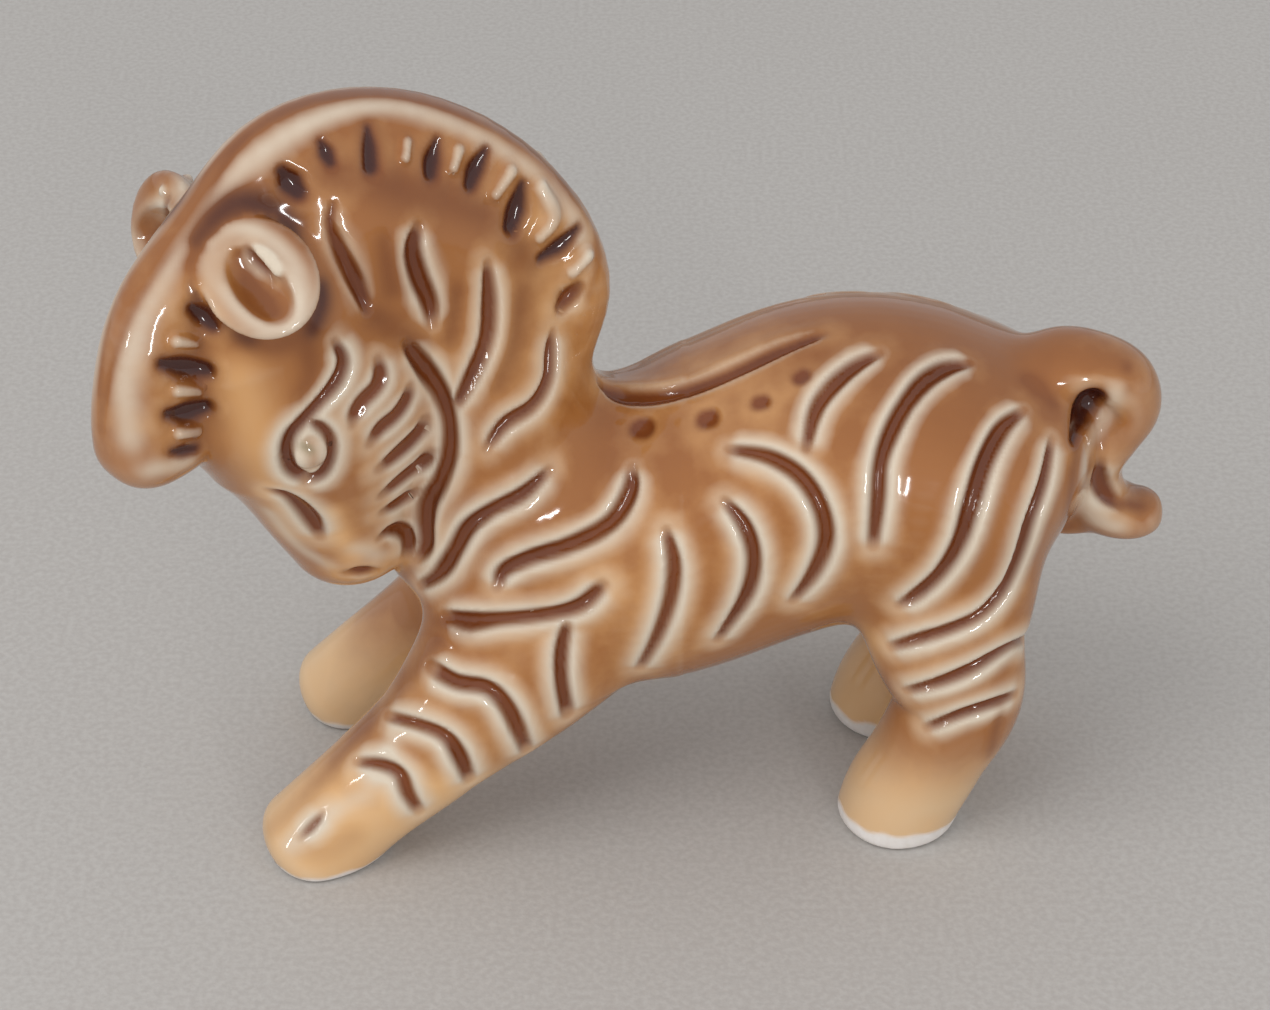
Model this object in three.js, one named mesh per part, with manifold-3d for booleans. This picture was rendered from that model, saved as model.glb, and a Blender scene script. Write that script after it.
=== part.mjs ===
// A glazed ceramic zebra foal. Clay pieces are luted together before firing: a torso, a neck and head,
// a round mane crest, ears, eye bosses, legs and a curled tail. The stripes are grooves pressed into
// them. Millimetres, +Z up. The foal looks towards -X and turns its head to its own left, which is -Y.
// The origin is on the ground under the middle of the figure, which stands on four flat bands of bare
// clay.
import * as THREE from "three";
import { mergeVertices } from "three/addons/utils/BufferGeometryUtils.js";
import Module from "manifold-3d";

const wasm = await Module();
wasm.setup();

// Driving dimensions. A deep is a height across a loft and a wide is its width across.
const seam = 0.3; // clearance between two luted pieces
const wall = 0.5; // least clay between a groove or hollow and the neighbour under it
const overrun = 4; // how far a cutting block reaches past what it cuts
const footBand = 2.2; // height of the bare clay under each leg
const torso = { breastX: -20, breastZ: 27, length: 65, climb: 12.5, deep: 34, wide: 31 };
const turn = { fromX: -3.6, radius: 55, degrees: 42 };
const neck = { run: 9, foot: 24, reach: 27, rise: 48.5, deep: 24, wide: 20 };
const head = { run: 38, crown: 77, reach: 14, drop: 47.4, deep: 29, wide: 22 };
const crest = { run: 28.5, height: 56, rearRadius: 23.5, topRadius: 22.8, frontRadius: 18.5 };
const crestBand = { deep: 11, wide: 7.6 };
const ear = { out: 7.2, stem: 7, rim: 1.6, long: 12, wide: 10.6 };
const earHollow = { deep: 2.3, long: 9.6, wide: 5.4, along: 0.8, aside: 0.5 };
// Where each ear sits, measured ahead of the crest's middle and above it
const earPlaces = { left: { ahead: 10.2, up: 15.8 }, right: { ahead: 10.8, up: 15.2 } };
const eye = { radius: 1.9, proud: 0.9 };
const foreLeg = { hipX: -6, hipZ: 29, hipY: 7, thick: 12.6 };
const foreFeet = { left: { x: -36.5, y: 15.4 }, right: { x: -34.5, y: 10.5 } };
const hindLeg = { fromRump: 12, footAhead: 6.2, hipZ: 36, thick: 12.4 };
const hindStance = { left: 9.8, right: 8.4 };
// The tail's root lies inside the rump, and its top is this far above the torso's middle there
const tail = { inRump: 7, reach: 14.2, rise: 11.1, drop: 19.5, thick: 7.8, wide: 11 };
const tailWeb = { deep: 8, wide: 4 };
// A groove's cutter stands clear of the clay by its own height, so it can't run under the skin, and
// the far side's skin is looked for as far off as the search
const groove = { depth: 0.9, pitDepth: 1.2, clear: 1.4, search: 4 };
const view = { aimZ: 33.35, distance: 350, degrees: 35 }; // where the stripes' lines were read from

const glaze = { color: 0xc68a4e, roughness: 0.12, metalness: 0 };
const darkGlaze = { color: 0x6e3d20, roughness: 0.1, metalness: 0 };
const bareClay = { color: 0xdedad6, roughness: 0.85, metalness: 0 };

const nearSide = new THREE.Vector3(0, -1, 0);
const skyward = new THREE.Vector3(0, 0, 1);

// The neck, head and crest stand on an upright sheet that bends towards the near side.
// A place on the sheet is its run forward from the withers and its height.
function onTurn(run, height) {
  const fullAngle = THREE.MathUtils.degToRad(turn.degrees);
  const angle = THREE.MathUtils.clamp(run / turn.radius, 0, fullAngle);
  const straight = run < 0 ? run : Math.max(run - turn.radius * fullAngle, 0);
  return new THREE.Vector3(
    turn.fromX - turn.radius * Math.sin(angle) - straight * Math.cos(angle),
    -turn.radius * (1 - Math.cos(angle)) - straight * Math.sin(angle),
    height,
  );
}

// The direction off that sheet, towards the near side
function offTurn(run) {
  const fullAngle = THREE.MathUtils.degToRad(turn.degrees);
  const angle = THREE.MathUtils.clamp(run / turn.radius, 0, fullAngle);
  return new THREE.Vector3(Math.sin(angle), -Math.cos(angle), 0);
}

function solidFrom(places, faces) {
  return new wasm.Manifold(
    new wasm.Mesh({
      numProp: 3,
      vertProperties: new Float32Array(places.flatMap((place) => place.toArray())),
      triVerts: new Uint32Array(faces.flat()),
    }),
  );
}

// A loft carries an oval section along a curve through its stations. A station holds its centre,
// its sideways direction and the half sizes of its section.
class Loft {
  constructor(stations, { startRound = 0.15, endRound = 0.15, square = 2 } = {}) {
    this.spine = new THREE.CatmullRomCurve3(stations.map((station) => station.at));
    this.sides = new THREE.CatmullRomCurve3(stations.map((station) => station.side));
    this.halves = new THREE.CatmullRomCurve3(
      stations.map(({ deep, wide }) => new THREE.Vector3(deep / 2, wide / 2, 0)),
    );
    Object.assign(this, { startRound, endRound, square });
  }

  // How much of its full size the section has at a share of the length: the ends close as domes
  dome(share) {
    const inward = Math.min(share / this.startRound, (1 - share) / this.endRound, 1);
    return Math.sqrt(Math.max(1 - (1 - inward) ** 2, 0));
  }

  // A point on the skin. The angle is 0 on top of the section and a quarter turn on the near side.
  point(share, angle, grow = 0) {
    const along = this.spine.getTangent(share);
    const side = this.sides.getPoint(share);
    side.addScaledVector(along, -side.dot(along)).normalize();
    const up = side.clone().cross(along).normalize();
    const half = this.halves.getPoint(share);
    const dome = this.dome(share);
    const bulge = (value) => Math.sign(value) * Math.abs(value) ** (2 / this.square);
    return this.spine
      .getPoint(share)
      .addScaledVector(up, (half.x * dome + grow) * bulge(Math.cos(angle)))
      .addScaledVector(side, (half.y * dome + grow) * bulge(Math.sin(angle)));
  }

  solid(rings, sectors, grow = 0) {
    const places = [this.spine.getPoint(0).addScaledVector(this.spine.getTangent(0), -grow)];
    for (let ring = 1; ring < rings; ring++) {
      const even = ring / rings;
      const crowded = (1 - Math.cos(Math.PI * even)) / 2;
      const share = THREE.MathUtils.lerp(even, crowded, 0.8);
      for (let sector = 0; sector < sectors; sector++) {
        places.push(this.point(share, (2 * Math.PI * sector) / sectors, grow));
      }
    }
    const end = places.length;
    places.push(this.spine.getPoint(1).addScaledVector(this.spine.getTangent(1), grow));
    const at = (ring, sector) => 1 + (ring - 1) * sectors + (sector % sectors);
    const faces = [];
    for (let sector = 0; sector < sectors; sector++) {
      faces.push([0, at(1, sector + 1), at(1, sector)]);
      faces.push([end, at(rings - 1, sector), at(rings - 1, sector + 1)]);
      for (let ring = 1; ring < rings - 1; ring++) {
        const [a, b] = [at(ring, sector), at(ring, sector + 1)];
        const [c, d] = [at(ring + 1, sector), at(ring + 1, sector + 1)];
        faces.push([a, b, d], [a, d, c]);
      }
    }
    return solidFrom(places, faces);
  }
}

function blockBetween(low, high) {
  const size = high.clone().sub(low);
  const block = new THREE.BoxGeometry(size.x, size.y, size.z);
  const middle = low.clone().add(high).divideScalar(2);
  block.translate(middle.x, middle.y, middle.z);
  return manifoldOf(block);
}

function manifoldOf(geometry) {
  const bare = geometry.clone();
  bare.deleteAttribute("normal");
  bare.deleteAttribute("uv");
  const welded = mergeVertices(bare);
  return new wasm.Manifold(
    new wasm.Mesh({
      numProp: 3,
      vertProperties: new Float32Array(welded.attributes.position.array),
      triVerts: new Uint32Array(welded.index.array),
    }),
  );
}

const rumpX = torso.breastX + torso.length;

// Torso rows: share of the length, of the climb, of the depth and of the width
const torsoShares = [
  [0, 0, 0.72, 0.7],
  [0.12, 0.1, 0.82, 0.8],
  [0.31, 0.24, 0.94, 0.95],
  [0.5, 0.72, 0.99, 0.97],
  [0.64, 1, 1, 1],
  [0.77, 0.97, 0.94, 1.02],
  [0.9, 0.86, 0.79, 0.92],
  [1, 0.64, 0.79, 0.75],
];
const torsoLoft = new Loft(
  torsoShares.map(([along, lift, deep, wide]) => ({
    at: new THREE.Vector3(
      torso.breastX + along * torso.length,
      0,
      torso.breastZ + lift * torso.climb,
    ),
    side: nearSide,
    deep: deep * torso.deep,
    wide: wide * torso.wide,
  })),
  { startRound: 0.16, endRound: 0.2 },
);

// Neck rows: share of the reach forward, of the rise, of the depth and of the width
const neckShares = [
  [0, 0, 1, 1.1],
  [0.04, 0.24, 1.08, 1.15],
  [0.11, 0.44, 0.98, 1.02],
  [0.19, 0.64, 0.98, 0.92],
  [0.37, 0.84, 1, 0.86],
  [0.67, 0.96, 1, 0.82],
  [1, 1, 0.92, 0.75],
];
const neckLoft = new Loft(
  neckShares.map(([forward, up, deep, wide]) => {
    const run = neck.run + forward * neck.reach;
    return {
      at: onTurn(run, neck.foot + up * neck.rise),
      side: offTurn(run),
      deep: deep * neck.deep,
      wide: wide * neck.wide,
    };
  }),
  { startRound: 0.1, endRound: 0.2 },
);

// Head rows, from the poll down to the lips: share of the reach back, of the drop, depth and width
const headShares = [
  [0, 0, 0.4, 0.5],
  [0.08, 0.11, 0.58, 0.68],
  [0.3, 0.26, 0.86, 0.9],
  [0.56, 0.44, 1.02, 1],
  [0.7, 0.61, 0.87, 0.92],
  [0.78, 0.77, 0.62, 0.72],
  [0.88, 0.89, 0.49, 0.6],
  [1, 1, 0.42, 0.52],
];
const headLoft = new Loft(
  headShares.map(([back, down, deep, wide]) => {
    const run = head.run - back * head.reach;
    return {
      at: onTurn(run, head.crown - down * head.drop),
      side: offTurn(run),
      deep: deep * head.deep,
      wide: wide * head.wide,
    };
  }),
  { startRound: 0.14, endRound: 0.14 },
);

// The crest goes round from the withers over the poll to the forelock.
// Rows: degrees round, share of the radius, of the band's depth and of its width
const crestShares = [
  [-34, 0.84, 0.45, 0.5],
  [-16, 0.915, 0.75, 0.8],
  [10, 1.045, 1, 0.95],
  [38, 1.03, 1, 1],
  [68, 1.005, 1, 1],
  [98, 0.965, 1, 1],
  [128, 0.89, 1, 1],
  [153, 0.99, 1.03, 1.05],
  [176, 1.01, 1.08, 1.2],
  [195, 1.02, 1.1, 1.3],
];
const crestLoft = new Loft(
  crestShares.map(([degrees, out, deep, wide]) => {
    const angle = THREE.MathUtils.degToRad(degrees);
    const [across, up] = [out * Math.cos(angle), out * Math.sin(angle)];
    const run = crest.run - across * (across > 0 ? crest.rearRadius : crest.frontRadius);
    return {
      at: onTurn(run, crest.height + up * crest.topRadius),
      side: offTurn(run),
      deep: deep * crestBand.deep,
      wide: wide * crestBand.wide,
    };
  }),
  { startRound: 0.08, endRound: 0.07, square: 2.6 },
);

// Leg rows, from the body down: share of the reach from hip to foot, of the height and of the
// sideways spread, then of the thickness fore and aft and sideways
const foreLegShares = [
  [0, 1, 0, 1.95, 1.08],
  [0.24, 0.71, 0.38, 1.58, 1.08],
  [0.5, 0.43, 0.66, 1.09, 0.98],
  [0.76, 0.19, 0.86, 0.96, 0.94],
  [1, -0.07, 1, 1, 1],
];
const hindLegShares = [
  [-0.1, 1.1, 0.7, 1.86, 1.3],
  [0.2, 0.7, 0.92, 1.37, 1.16],
  [-0.06, 0.46, 1, 1.1, 1],
  [0.34, 0.25, 1, 0.98, 0.92],
  [0.78, 0.08, 1, 1, 0.98],
  [1, -0.06, 1, 0.96, 0.96],
];
function foreLegLoft(side, foot) {
  return new Loft(
    foreLegShares.map(([reach, up, out, deep, wide]) => ({
      at: new THREE.Vector3(
        THREE.MathUtils.lerp(foreLeg.hipX, foot.x, reach),
        side * THREE.MathUtils.lerp(foreLeg.hipY, foot.y, out),
        up * foreLeg.hipZ,
      ),
      side: nearSide,
      deep: deep * foreLeg.thick,
      wide: wide * foreLeg.thick,
    })),
    { startRound: 0.2, endRound: 0.1 },
  );
}
function hindLegLoft(side, stance) {
  const hipX = rumpX - hindLeg.fromRump;
  return new Loft(
    hindLegShares.map(([reach, up, out, deep, wide]) => ({
      at: new THREE.Vector3(
        hipX - reach * hindLeg.footAhead,
        side * out * stance,
        up * hindLeg.hipZ,
      ),
      side: nearSide,
      deep: deep * hindLeg.thick,
      wide: wide * hindLeg.thick,
    })),
    { startRound: 0.2, endRound: 0.1 },
  );
}

function onTail(back, down) {
  const [rootX, top] = [rumpX - tail.inRump, torso.breastZ + torso.climb + tail.rise];
  return new THREE.Vector3(rootX + back * tail.reach, 0, top - down * tail.drop);
}

// Tail rows: share of the reach back, of the drop, and of the thickness
const tailShares = [
  [0, 0.16, 0.95],
  [0.32, -0.01, 0.82],
  [0.58, 0, 0.76],
  [0.8, 0.09, 0.74],
  [0.865, 0.23, 0.72],
  [0.75, 0.41, 0.7],
  [0.62, 0.58, 0.68],
  [0.62, 0.74, 0.73],
  [0.76, 0.88, 0.73],
  [0.96, 0.92, 0.64],
  [1.14, 0.86, 0.46],
];
const tailLoft = new Loft(
  tailShares.map(([back, down, thick]) => ({
    at: onTail(back, down),
    side: nearSide,
    deep: thick * tail.thick,
    wide: thick * tail.wide,
  })),
  { startRound: 0.05, endRound: 0.06 },
);

// Ears are shallow cups on short stems, set on the crest's round. Each faces out, ahead and up by
// its face shares, as it was pressed on by hand, and its long axis droops outwards.
// Rows, from the stem: share of the depth, of the length and of the width.
const earFaceShares = { left: [0.55, 0.45, 0.6], right: [0.1, 0.85, 0.25] };
const earDroopShares = [0.75, -0.2, -0.64];
const earShares = [
  [0, 0.5, 0.5],
  [0.4, 0.62, 0.62],
  [0.68, 0.9, 0.9],
  [0.85, 1, 1],
  [1, 0.98, 0.98],
];
const earHollowShares = [
  [0, 0.5, 0.5],
  [0.35, 0.86, 0.84],
  [0.7, 1.05, 1.05],
  [1, 1.3, 1.3],
];
function earFrame(name, side) {
  const place = earPlaces[name];
  const run = crest.run + place.ahead;
  const outward = offTurn(run).multiplyScalar(side);
  const forward = offTurn(run).cross(skyward);
  const toward = ([out, ahead, up]) =>
    new THREE.Vector3()
      .addScaledVector(outward, out)
      .addScaledVector(forward, ahead)
      .addScaledVector(skyward, up)
      .normalize();
  const face = toward(earFaceShares[name]);
  const droop = toward(earDroopShares);
  droop.addScaledVector(face, -face.dot(droop)).normalize();
  const centre = onTurn(run, crest.height + place.up).addScaledVector(outward, ear.out);
  return { centre, face, droop, aside: droop.clone().cross(face).multiplyScalar(side) };
}

function earLoft(name, side) {
  const { centre, face, droop } = earFrame(name, side);
  return new Loft(
    earShares.map(([inward, long, wide]) => ({
      at: centre.clone().addScaledVector(face, THREE.MathUtils.lerp(-ear.stem, ear.rim, inward)),
      side: droop,
      deep: wide * ear.wide,
      wide: long * ear.long,
    })),
    { startRound: 0.2, endRound: 0.24 },
  );
}

function earHollowLoft(name, side) {
  const { centre, face, droop, aside } = earFrame(name, side);
  const [floor, mouth] = [ear.rim - earHollow.deep, ear.rim + earHollow.deep];
  centre.addScaledVector(droop, earHollow.along).addScaledVector(aside, earHollow.aside);
  return new Loft(
    earHollowShares.map(([out, long, wide]) => ({
      at: centre.clone().addScaledVector(face, THREE.MathUtils.lerp(floor, mouth, out)),
      side: droop,
      deep: wide * earHollow.wide,
      wide: long * earHollow.long,
    })),
    { startRound: 0.3, endRound: 0.1 },
  );
}

// A loft's solid is drawn with a ring and sector count that suits its size
const torsoCounts = [15, 24];
const neckCounts = [12, 22];
const headCounts = [13, 20];
const crestCounts = [32, 12];
const legCounts = [11, 14];
const tailCounts = [24, 10];
const earCounts = [8, 14];
const eyeCounts = [10, 7];
const grooveCounts = [2, 4];
const grooveFlareShare = 1.3; // a groove opens wider than its line

// Cuts away the room that the neighbours take, with a seam round them, and drops loose offcuts
function seated(solid, neighbours) {
  const rest = neighbours.reduce((left, neighbour) => left.subtract(neighbour), solid);
  const bodies = rest.decompose();
  return bodies.reduce((most, body) => (body.volume() > most.volume() ? body : most));
}

function eyeBall(centre, radius) {
  const ball = new THREE.SphereGeometry(radius, ...eyeCounts);
  ball.translate(centre.x, centre.y, centre.z);
  return manifoldOf(ball);
}

// Where the eyes sit on the head: share of the way down from the poll, and round from the nape
const eyeShare = 0.462;
const eyeTurnShare = 0.312;
function eyeCentre(side) {
  const angle = side * eyeTurnShare * 2 * Math.PI;
  return headLoft.point(eyeShare, angle, eye.proud - eye.radius);
}

// The tail's curl lies on a thin web of clay against the rump
const tailWebShares = [
  [0.2, 0.12],
  [0.5, 0.42],
  [0.46, 1.06],
];
const tailWebLoft = new Loft(
  tailWebShares.map(([back, down]) => ({
    at: onTail(back, down),
    side: nearSide,
    deep: tailWeb.deep,
    wide: tailWeb.wide,
  })),
);

// Stripes are grooves pressed into the clay, and the mane has a row of pits. Each is a line of
// points in the pixels of a view from the near side: across, down and the groove's half width.
// The far side has the same lines, mirrored.
const viewPixels = { middle: 635, level: 505, focal: 3395 };
const bodyPixels = [
  [[604, 386, 6], [650, 397, 9], [715, 380, 8], [785, 348, 7], [824, 334, 4]],
  [[880, 353, 4], [834, 384, 8], [814, 412, 7], [806, 449, 4]],
  [[970, 363, 4], [926, 380, 9], [891, 432, 8], [878, 500, 7], [873, 546, 4]],
  [[729, 449, 4], [790, 468, 8], [826, 525, 8], [813, 575, 7], [793, 601, 4]],
  [[725, 501, 4], [750, 540, 7], [748, 593, 7], [718, 640, 4]],
  [[666, 530, 4], [673, 580, 7], [656, 640, 6], [640, 668, 4]],
  [[1024, 410, 4], [986, 460, 9], [960, 542, 8], [925, 588, 6], [898, 606, 3]],
  [[1052, 440, 4], [1030, 522, 7], [1002, 592, 7], [950, 629, 6], [890, 647, 4]],
  [[632, 468, 5], [612, 521, 8], [556, 550, 8], [503, 578, 5]],
  [[455, 618, 6], [475, 620, 8], [500, 619, 7], [560, 612, 8], [603, 585, 5]],
  [[567, 624, 5], [562, 670, 7], [568, 714, 6]],
  [[432, 668, 8], [488, 688, 8], [512, 714, 8], [527, 750, 5]],
  [[388, 716, 5], [435, 732, 7], [460, 757, 8], [470, 780, 5]],
  [[356, 762, 4], [395, 770, 7], [409, 796, 7], [420, 812, 5]],
  [[1024, 638, 4], [970, 670, 7], [906, 691, 4]],
  [[1016, 694, 4], [970, 711, 6], [926, 728, 4]],
  [[1100, 460, 5], [1099, 482, 9], [1124, 503, 4]],
];
const turnedPixels = [
  [[333, 204, 5], [342, 255, 7], [364, 306, 5]],
  [[418, 226, 5], [417, 270, 9], [432, 324, 5]],
  [[488, 264, 5], [488, 320, 8], [472, 378, 7], [455, 408, 4]],
  [[570, 300, 6], [551, 345, 7], [544, 392, 7], [505, 424, 7], [487, 448, 4]],
  [[408, 345, 7], [442, 395, 8], [449, 455, 8], [428, 503, 9], [425, 545, 6]],
  [[335, 342, 4], [340, 376, 7], [304, 420, 6], [286, 452, 6], [308, 479, 5]],
  [[381, 362, 4], [380, 384, 7], [352, 424, 4]],
  [[409, 388, 4], [396, 416, 6], [370, 446, 4]],
  [[424, 422, 4], [404, 452, 6], [383, 472, 4]],
  [[268, 490, 3], [300, 506, 8], [320, 537, 5]],
  [[549, 470, 4], [490, 511, 7], [455, 548, 8], [434, 574, 6]],
];
const pitPixels = [
  [[282, 170, 7], [290, 182, 12], [299, 194, 7]],
  [[320, 140, 4], [327, 153, 8], [332, 164, 5]],
  [[368, 128, 4], [370, 147, 9], [371, 168, 8]],
  [[437, 140, 4], [432, 160, 9], [431, 174, 7]],
  [[486, 150, 5], [476, 168, 10], [470, 186, 7]],
  [[522, 184, 5], [516, 210, 11], [511, 236, 8]],
  [[578, 228, 5], [560, 246, 9], [540, 259, 5]],
  [[191, 307, 7], [203, 317, 10], [213, 328, 7]],
  [[163, 364, 6], [184, 367, 11], [206, 370, 8]],
  [[168, 414, 6], [186, 413, 11], [205, 408, 8]],
];

function sightLine([across, down]) {
  const ahead = new THREE.Vector3(0, 1, 0).applyAxisAngle(
    new THREE.Vector3(1, 0, 0),
    -THREE.MathUtils.degToRad(view.degrees),
  );
  const right = new THREE.Vector3(1, 0, 0);
  const up = right.clone().cross(ahead);
  const eyePoint = new THREE.Vector3(0, 0, view.aimZ).addScaledVector(ahead, -view.distance);
  const way = ahead
    .multiplyScalar(viewPixels.focal)
    .addScaledVector(right, across - viewPixels.middle)
    .addScaledVector(up, viewPixels.level - down);
  return new THREE.Raycaster(eyePoint, way.normalize());
}

// The mirror of a point in the figure's middle plane, or in the upright sheet of neck and head
function acrossBody(point) {
  return point.clone().setY(-point.y);
}
function acrossTurn(point) {
  const fullAngle = THREE.MathUtils.degToRad(turn.degrees);
  const [x, y] = [turn.fromX - point.x, point.y + turn.radius];
  const angle = Math.atan2(x, y);
  if (angle < 0) return acrossBody(point);
  if (angle > fullAngle) {
    const run = turn.radius * fullAngle;
    const off = point.clone().sub(onTurn(run, point.z)).dot(offTurn(run));
    return point.clone().addScaledVector(offTurn(run), -2 * off);
  }
  const radius = 2 * turn.radius - Math.hypot(x, y);
  return new THREE.Vector3(
    turn.fromX - radius * Math.sin(angle),
    radius * Math.cos(angle) - turn.radius,
    point.z,
  );
}

// A groove's cutter: a slim loft of four-sided section. It reaches down by the depth and stands clear
// above, and its width is worked out so that it is right where it meets the clay.
function grooveCutter(spots, depth) {
  const height = depth + groove.clear;
  const widen = height / (2 * Math.min(depth, groove.clear));
  const stations = spots.map(({ point, normal, half }, index) => {
    const before = spots[Math.max(index - 1, 0)].point;
    const after = spots[Math.min(index + 1, spots.length - 1)].point;
    const side = normal.clone().cross(after.clone().sub(before)).normalize();
    const at = point.clone().addScaledVector(normal, (groove.clear - depth) / 2);
    return { at, side, deep: height, wide: 2 * grooveFlareShare * half * widen };
  });
  const loft = new Loft(stations, { startRound: 0.16, endRound: 0.16 });
  const [endRings, sectors] = grooveCounts;
  return loft.solid(spots.length + endRings, sectors);
}

// Drops one line onto the clay and gives its cutters for the near and the far side
function grooveCutters(clay, pixels, mirror, depth) {
  const near = pixels.flatMap(([across, down, half]) => {
    const [hit] = sightLine([across, down]).intersectObject(clay);
    if (!hit) return [];
    const width = (half * hit.distance) / viewPixels.focal;
    return [{ point: hit.point, normal: hit.normal, half: width }];
  });
  const far = near.flatMap(({ point, normal, half }) => {
    const outside = mirror(point.clone().addScaledVector(normal, groove.search));
    const way = mirror(point).sub(outside).normalize();
    const [hit] = new THREE.Raycaster(outside, way, 0, 2 * groove.search).intersectObject(clay);
    return hit ? [{ point: hit.point, normal: way.negate(), half }] : [];
  });
  return [near, far].filter((spots) => spots.length > 2).map((spots) => grooveCutter(spots, depth));
}

// Cuts a piece to sit on its neighbours, then sinks its hollows no deeper than the wall allows
function hollowed(solid, neighbours, hollows) {
  const rooms = neighbours.map(({ loft, counts }) => loft.solid(...counts, seam));
  const walls = neighbours.map(({ loft, counts }) => loft.solid(...counts, seam + wall));
  const cut = walls.reduce((left, kept) => left.subtract(kept), hollows);
  return seated(solid, [...rooms, cut]);
}

// Legs end in a flat foot. The bare clay band is a piece of its own under the glazed leg.
function legAndFoot(loft, neighbours, grooves) {
  const whole = loft.solid(...legCounts);
  const { min, max } = whole.boundingBox();
  const low = new THREE.Vector3(...min).subScalar(overrun);
  const high = new THREE.Vector3(...max).addScalar(overrun);
  const aboveFoot = blockBetween(low.clone().setZ(footBand + seam), high);
  const inFoot = blockBetween(low.clone().setZ(0), high.clone().setZ(footBand));
  return {
    leg: hollowed(whole.intersect(aboveFoot), neighbours, grooves),
    foot: whole.intersect(inFoot),
  };
}

function geometryOf(solid) {
  const { vertProperties, triVerts } = solid.getMesh();
  const geometry = new THREE.BufferGeometry()
    .setAttribute("position", new THREE.BufferAttribute(vertProperties, 3))
    .setIndex(new THREE.BufferAttribute(triVerts, 1));
  geometry.computeVertexNormals();
  return geometry;
}

// Every cutter for the stripes and pits, found on the outside of the joined clay
function allGrooves(bodies) {
  const clay = new THREE.Mesh(geometryOf(wasm.Manifold.union(bodies)));
  return [
    ...bodyPixels.flatMap((pixels) => grooveCutters(clay, pixels, acrossBody, groove.depth)),
    ...turnedPixels.flatMap((pixels) => grooveCutters(clay, pixels, acrossTurn, groove.depth)),
    ...pitPixels.flatMap((pixels) => grooveCutters(clay, pixels, acrossTurn, groove.pitDepth)),
  ];
}

function buildFigure() {
  const torsoBody = { loft: torsoLoft, counts: torsoCounts };
  const neckBody = { loft: neckLoft, counts: neckCounts };
  const headBody = { loft: headLoft, counts: headCounts };
  const crestBody = { loft: crestLoft, counts: crestCounts };
  const [torsoWhole, neckWhole, headWhole, crestWhole] = [torsoBody, neckBody, headBody, crestBody].map(
    ({ loft, counts }) => loft.solid(...counts),
  );
  const tailWhole = tailLoft.solid(...tailCounts).add(tailWebLoft.solid(...earCounts));
  const eyeCentres = { left: eyeCentre(1), right: eyeCentre(-1) };
  const sockets = Object.values(eyeCentres).map((centre) => eyeBall(centre, eye.radius + seam));
  const legLofts = {
    left: { fore: foreLegLoft(-1, foreFeet.left), hind: hindLegLoft(-1, hindStance.left) },
    right: { fore: foreLegLoft(1, foreFeet.right), hind: hindLegLoft(1, hindStance.right) },
  };
  const legWholes = Object.values(legLofts).flatMap(({ fore, hind }) => [
    fore.solid(...legCounts),
    hind.solid(...legCounts),
  ]);
  const grooves = wasm.Manifold.union(
    allGrooves([torsoWhole, neckWhole, headWhole, crestWhole, tailWhole, ...legWholes]),
  );

  const figure = new THREE.Group();
  function place(name, solid, look) {
    const mesh = new THREE.Mesh(geometryOf(solid), new THREE.MeshStandardMaterial(look));
    mesh.name = name;
    figure.add(mesh);
  }

  place("torso", hollowed(torsoWhole, [], grooves), glaze);
  place("neck", hollowed(neckWhole, [torsoBody, headBody], grooves), glaze);
  place("head", hollowed(seated(headWhole, sockets), [], grooves), glaze);
  place("mane_crest", hollowed(crestWhole, [torsoBody, neckBody, headBody], grooves), glaze);
  for (const [name, side] of [["left", 1], ["right", -1]]) {
    const cup = earLoft(name, side).solid(...earCounts);
    const hollow = earHollowLoft(name, side).solid(...earCounts);
    place(`${name}_ear`, hollowed(cup, [headBody, crestBody, neckBody], hollow), glaze);
    place(`${name}_eye`, eyeBall(eyeCentres[name], eye.radius), darkGlaze);
    const fore = legAndFoot(legLofts[name].fore, [torsoBody, neckBody], grooves);
    const hind = legAndFoot(legLofts[name].hind, [torsoBody], grooves);
    place(`${name}_fore_leg`, fore.leg, glaze);
    place(`${name}_fore_foot`, fore.foot, bareClay);
    place(`${name}_hind_leg`, hind.leg, glaze);
    place(`${name}_hind_foot`, hind.foot, bareClay);
  }
  place("tail", hollowed(tailWhole, [torsoBody], grooves), glaze);

  const box = new THREE.Box3().setFromObject(figure);
  const middle = box.getCenter(new THREE.Vector3());
  figure.position.set(-middle.x, -middle.y, 0);
  return figure;
}

export default buildFigure();
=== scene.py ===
import math
import bpy
import numpy as np
import openvdb
from mathutils import Matrix, Vector
from mathutils.bvhtree import BVHTree


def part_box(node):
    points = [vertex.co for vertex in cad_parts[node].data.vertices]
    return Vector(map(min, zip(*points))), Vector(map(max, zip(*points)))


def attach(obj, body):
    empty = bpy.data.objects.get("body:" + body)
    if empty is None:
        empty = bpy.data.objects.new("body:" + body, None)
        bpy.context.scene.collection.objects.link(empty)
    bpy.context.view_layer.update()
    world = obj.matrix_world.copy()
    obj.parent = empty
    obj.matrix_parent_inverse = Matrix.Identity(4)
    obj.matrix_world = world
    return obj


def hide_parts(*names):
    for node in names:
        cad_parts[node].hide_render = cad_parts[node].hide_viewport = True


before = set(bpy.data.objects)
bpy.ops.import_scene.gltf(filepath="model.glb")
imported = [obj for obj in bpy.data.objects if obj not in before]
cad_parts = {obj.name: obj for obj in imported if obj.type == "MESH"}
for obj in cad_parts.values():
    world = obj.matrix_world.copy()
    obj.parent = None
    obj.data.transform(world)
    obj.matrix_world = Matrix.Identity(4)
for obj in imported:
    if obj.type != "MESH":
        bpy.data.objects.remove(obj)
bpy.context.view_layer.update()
print("frame loaded:", len(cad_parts), "nodes")

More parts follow.
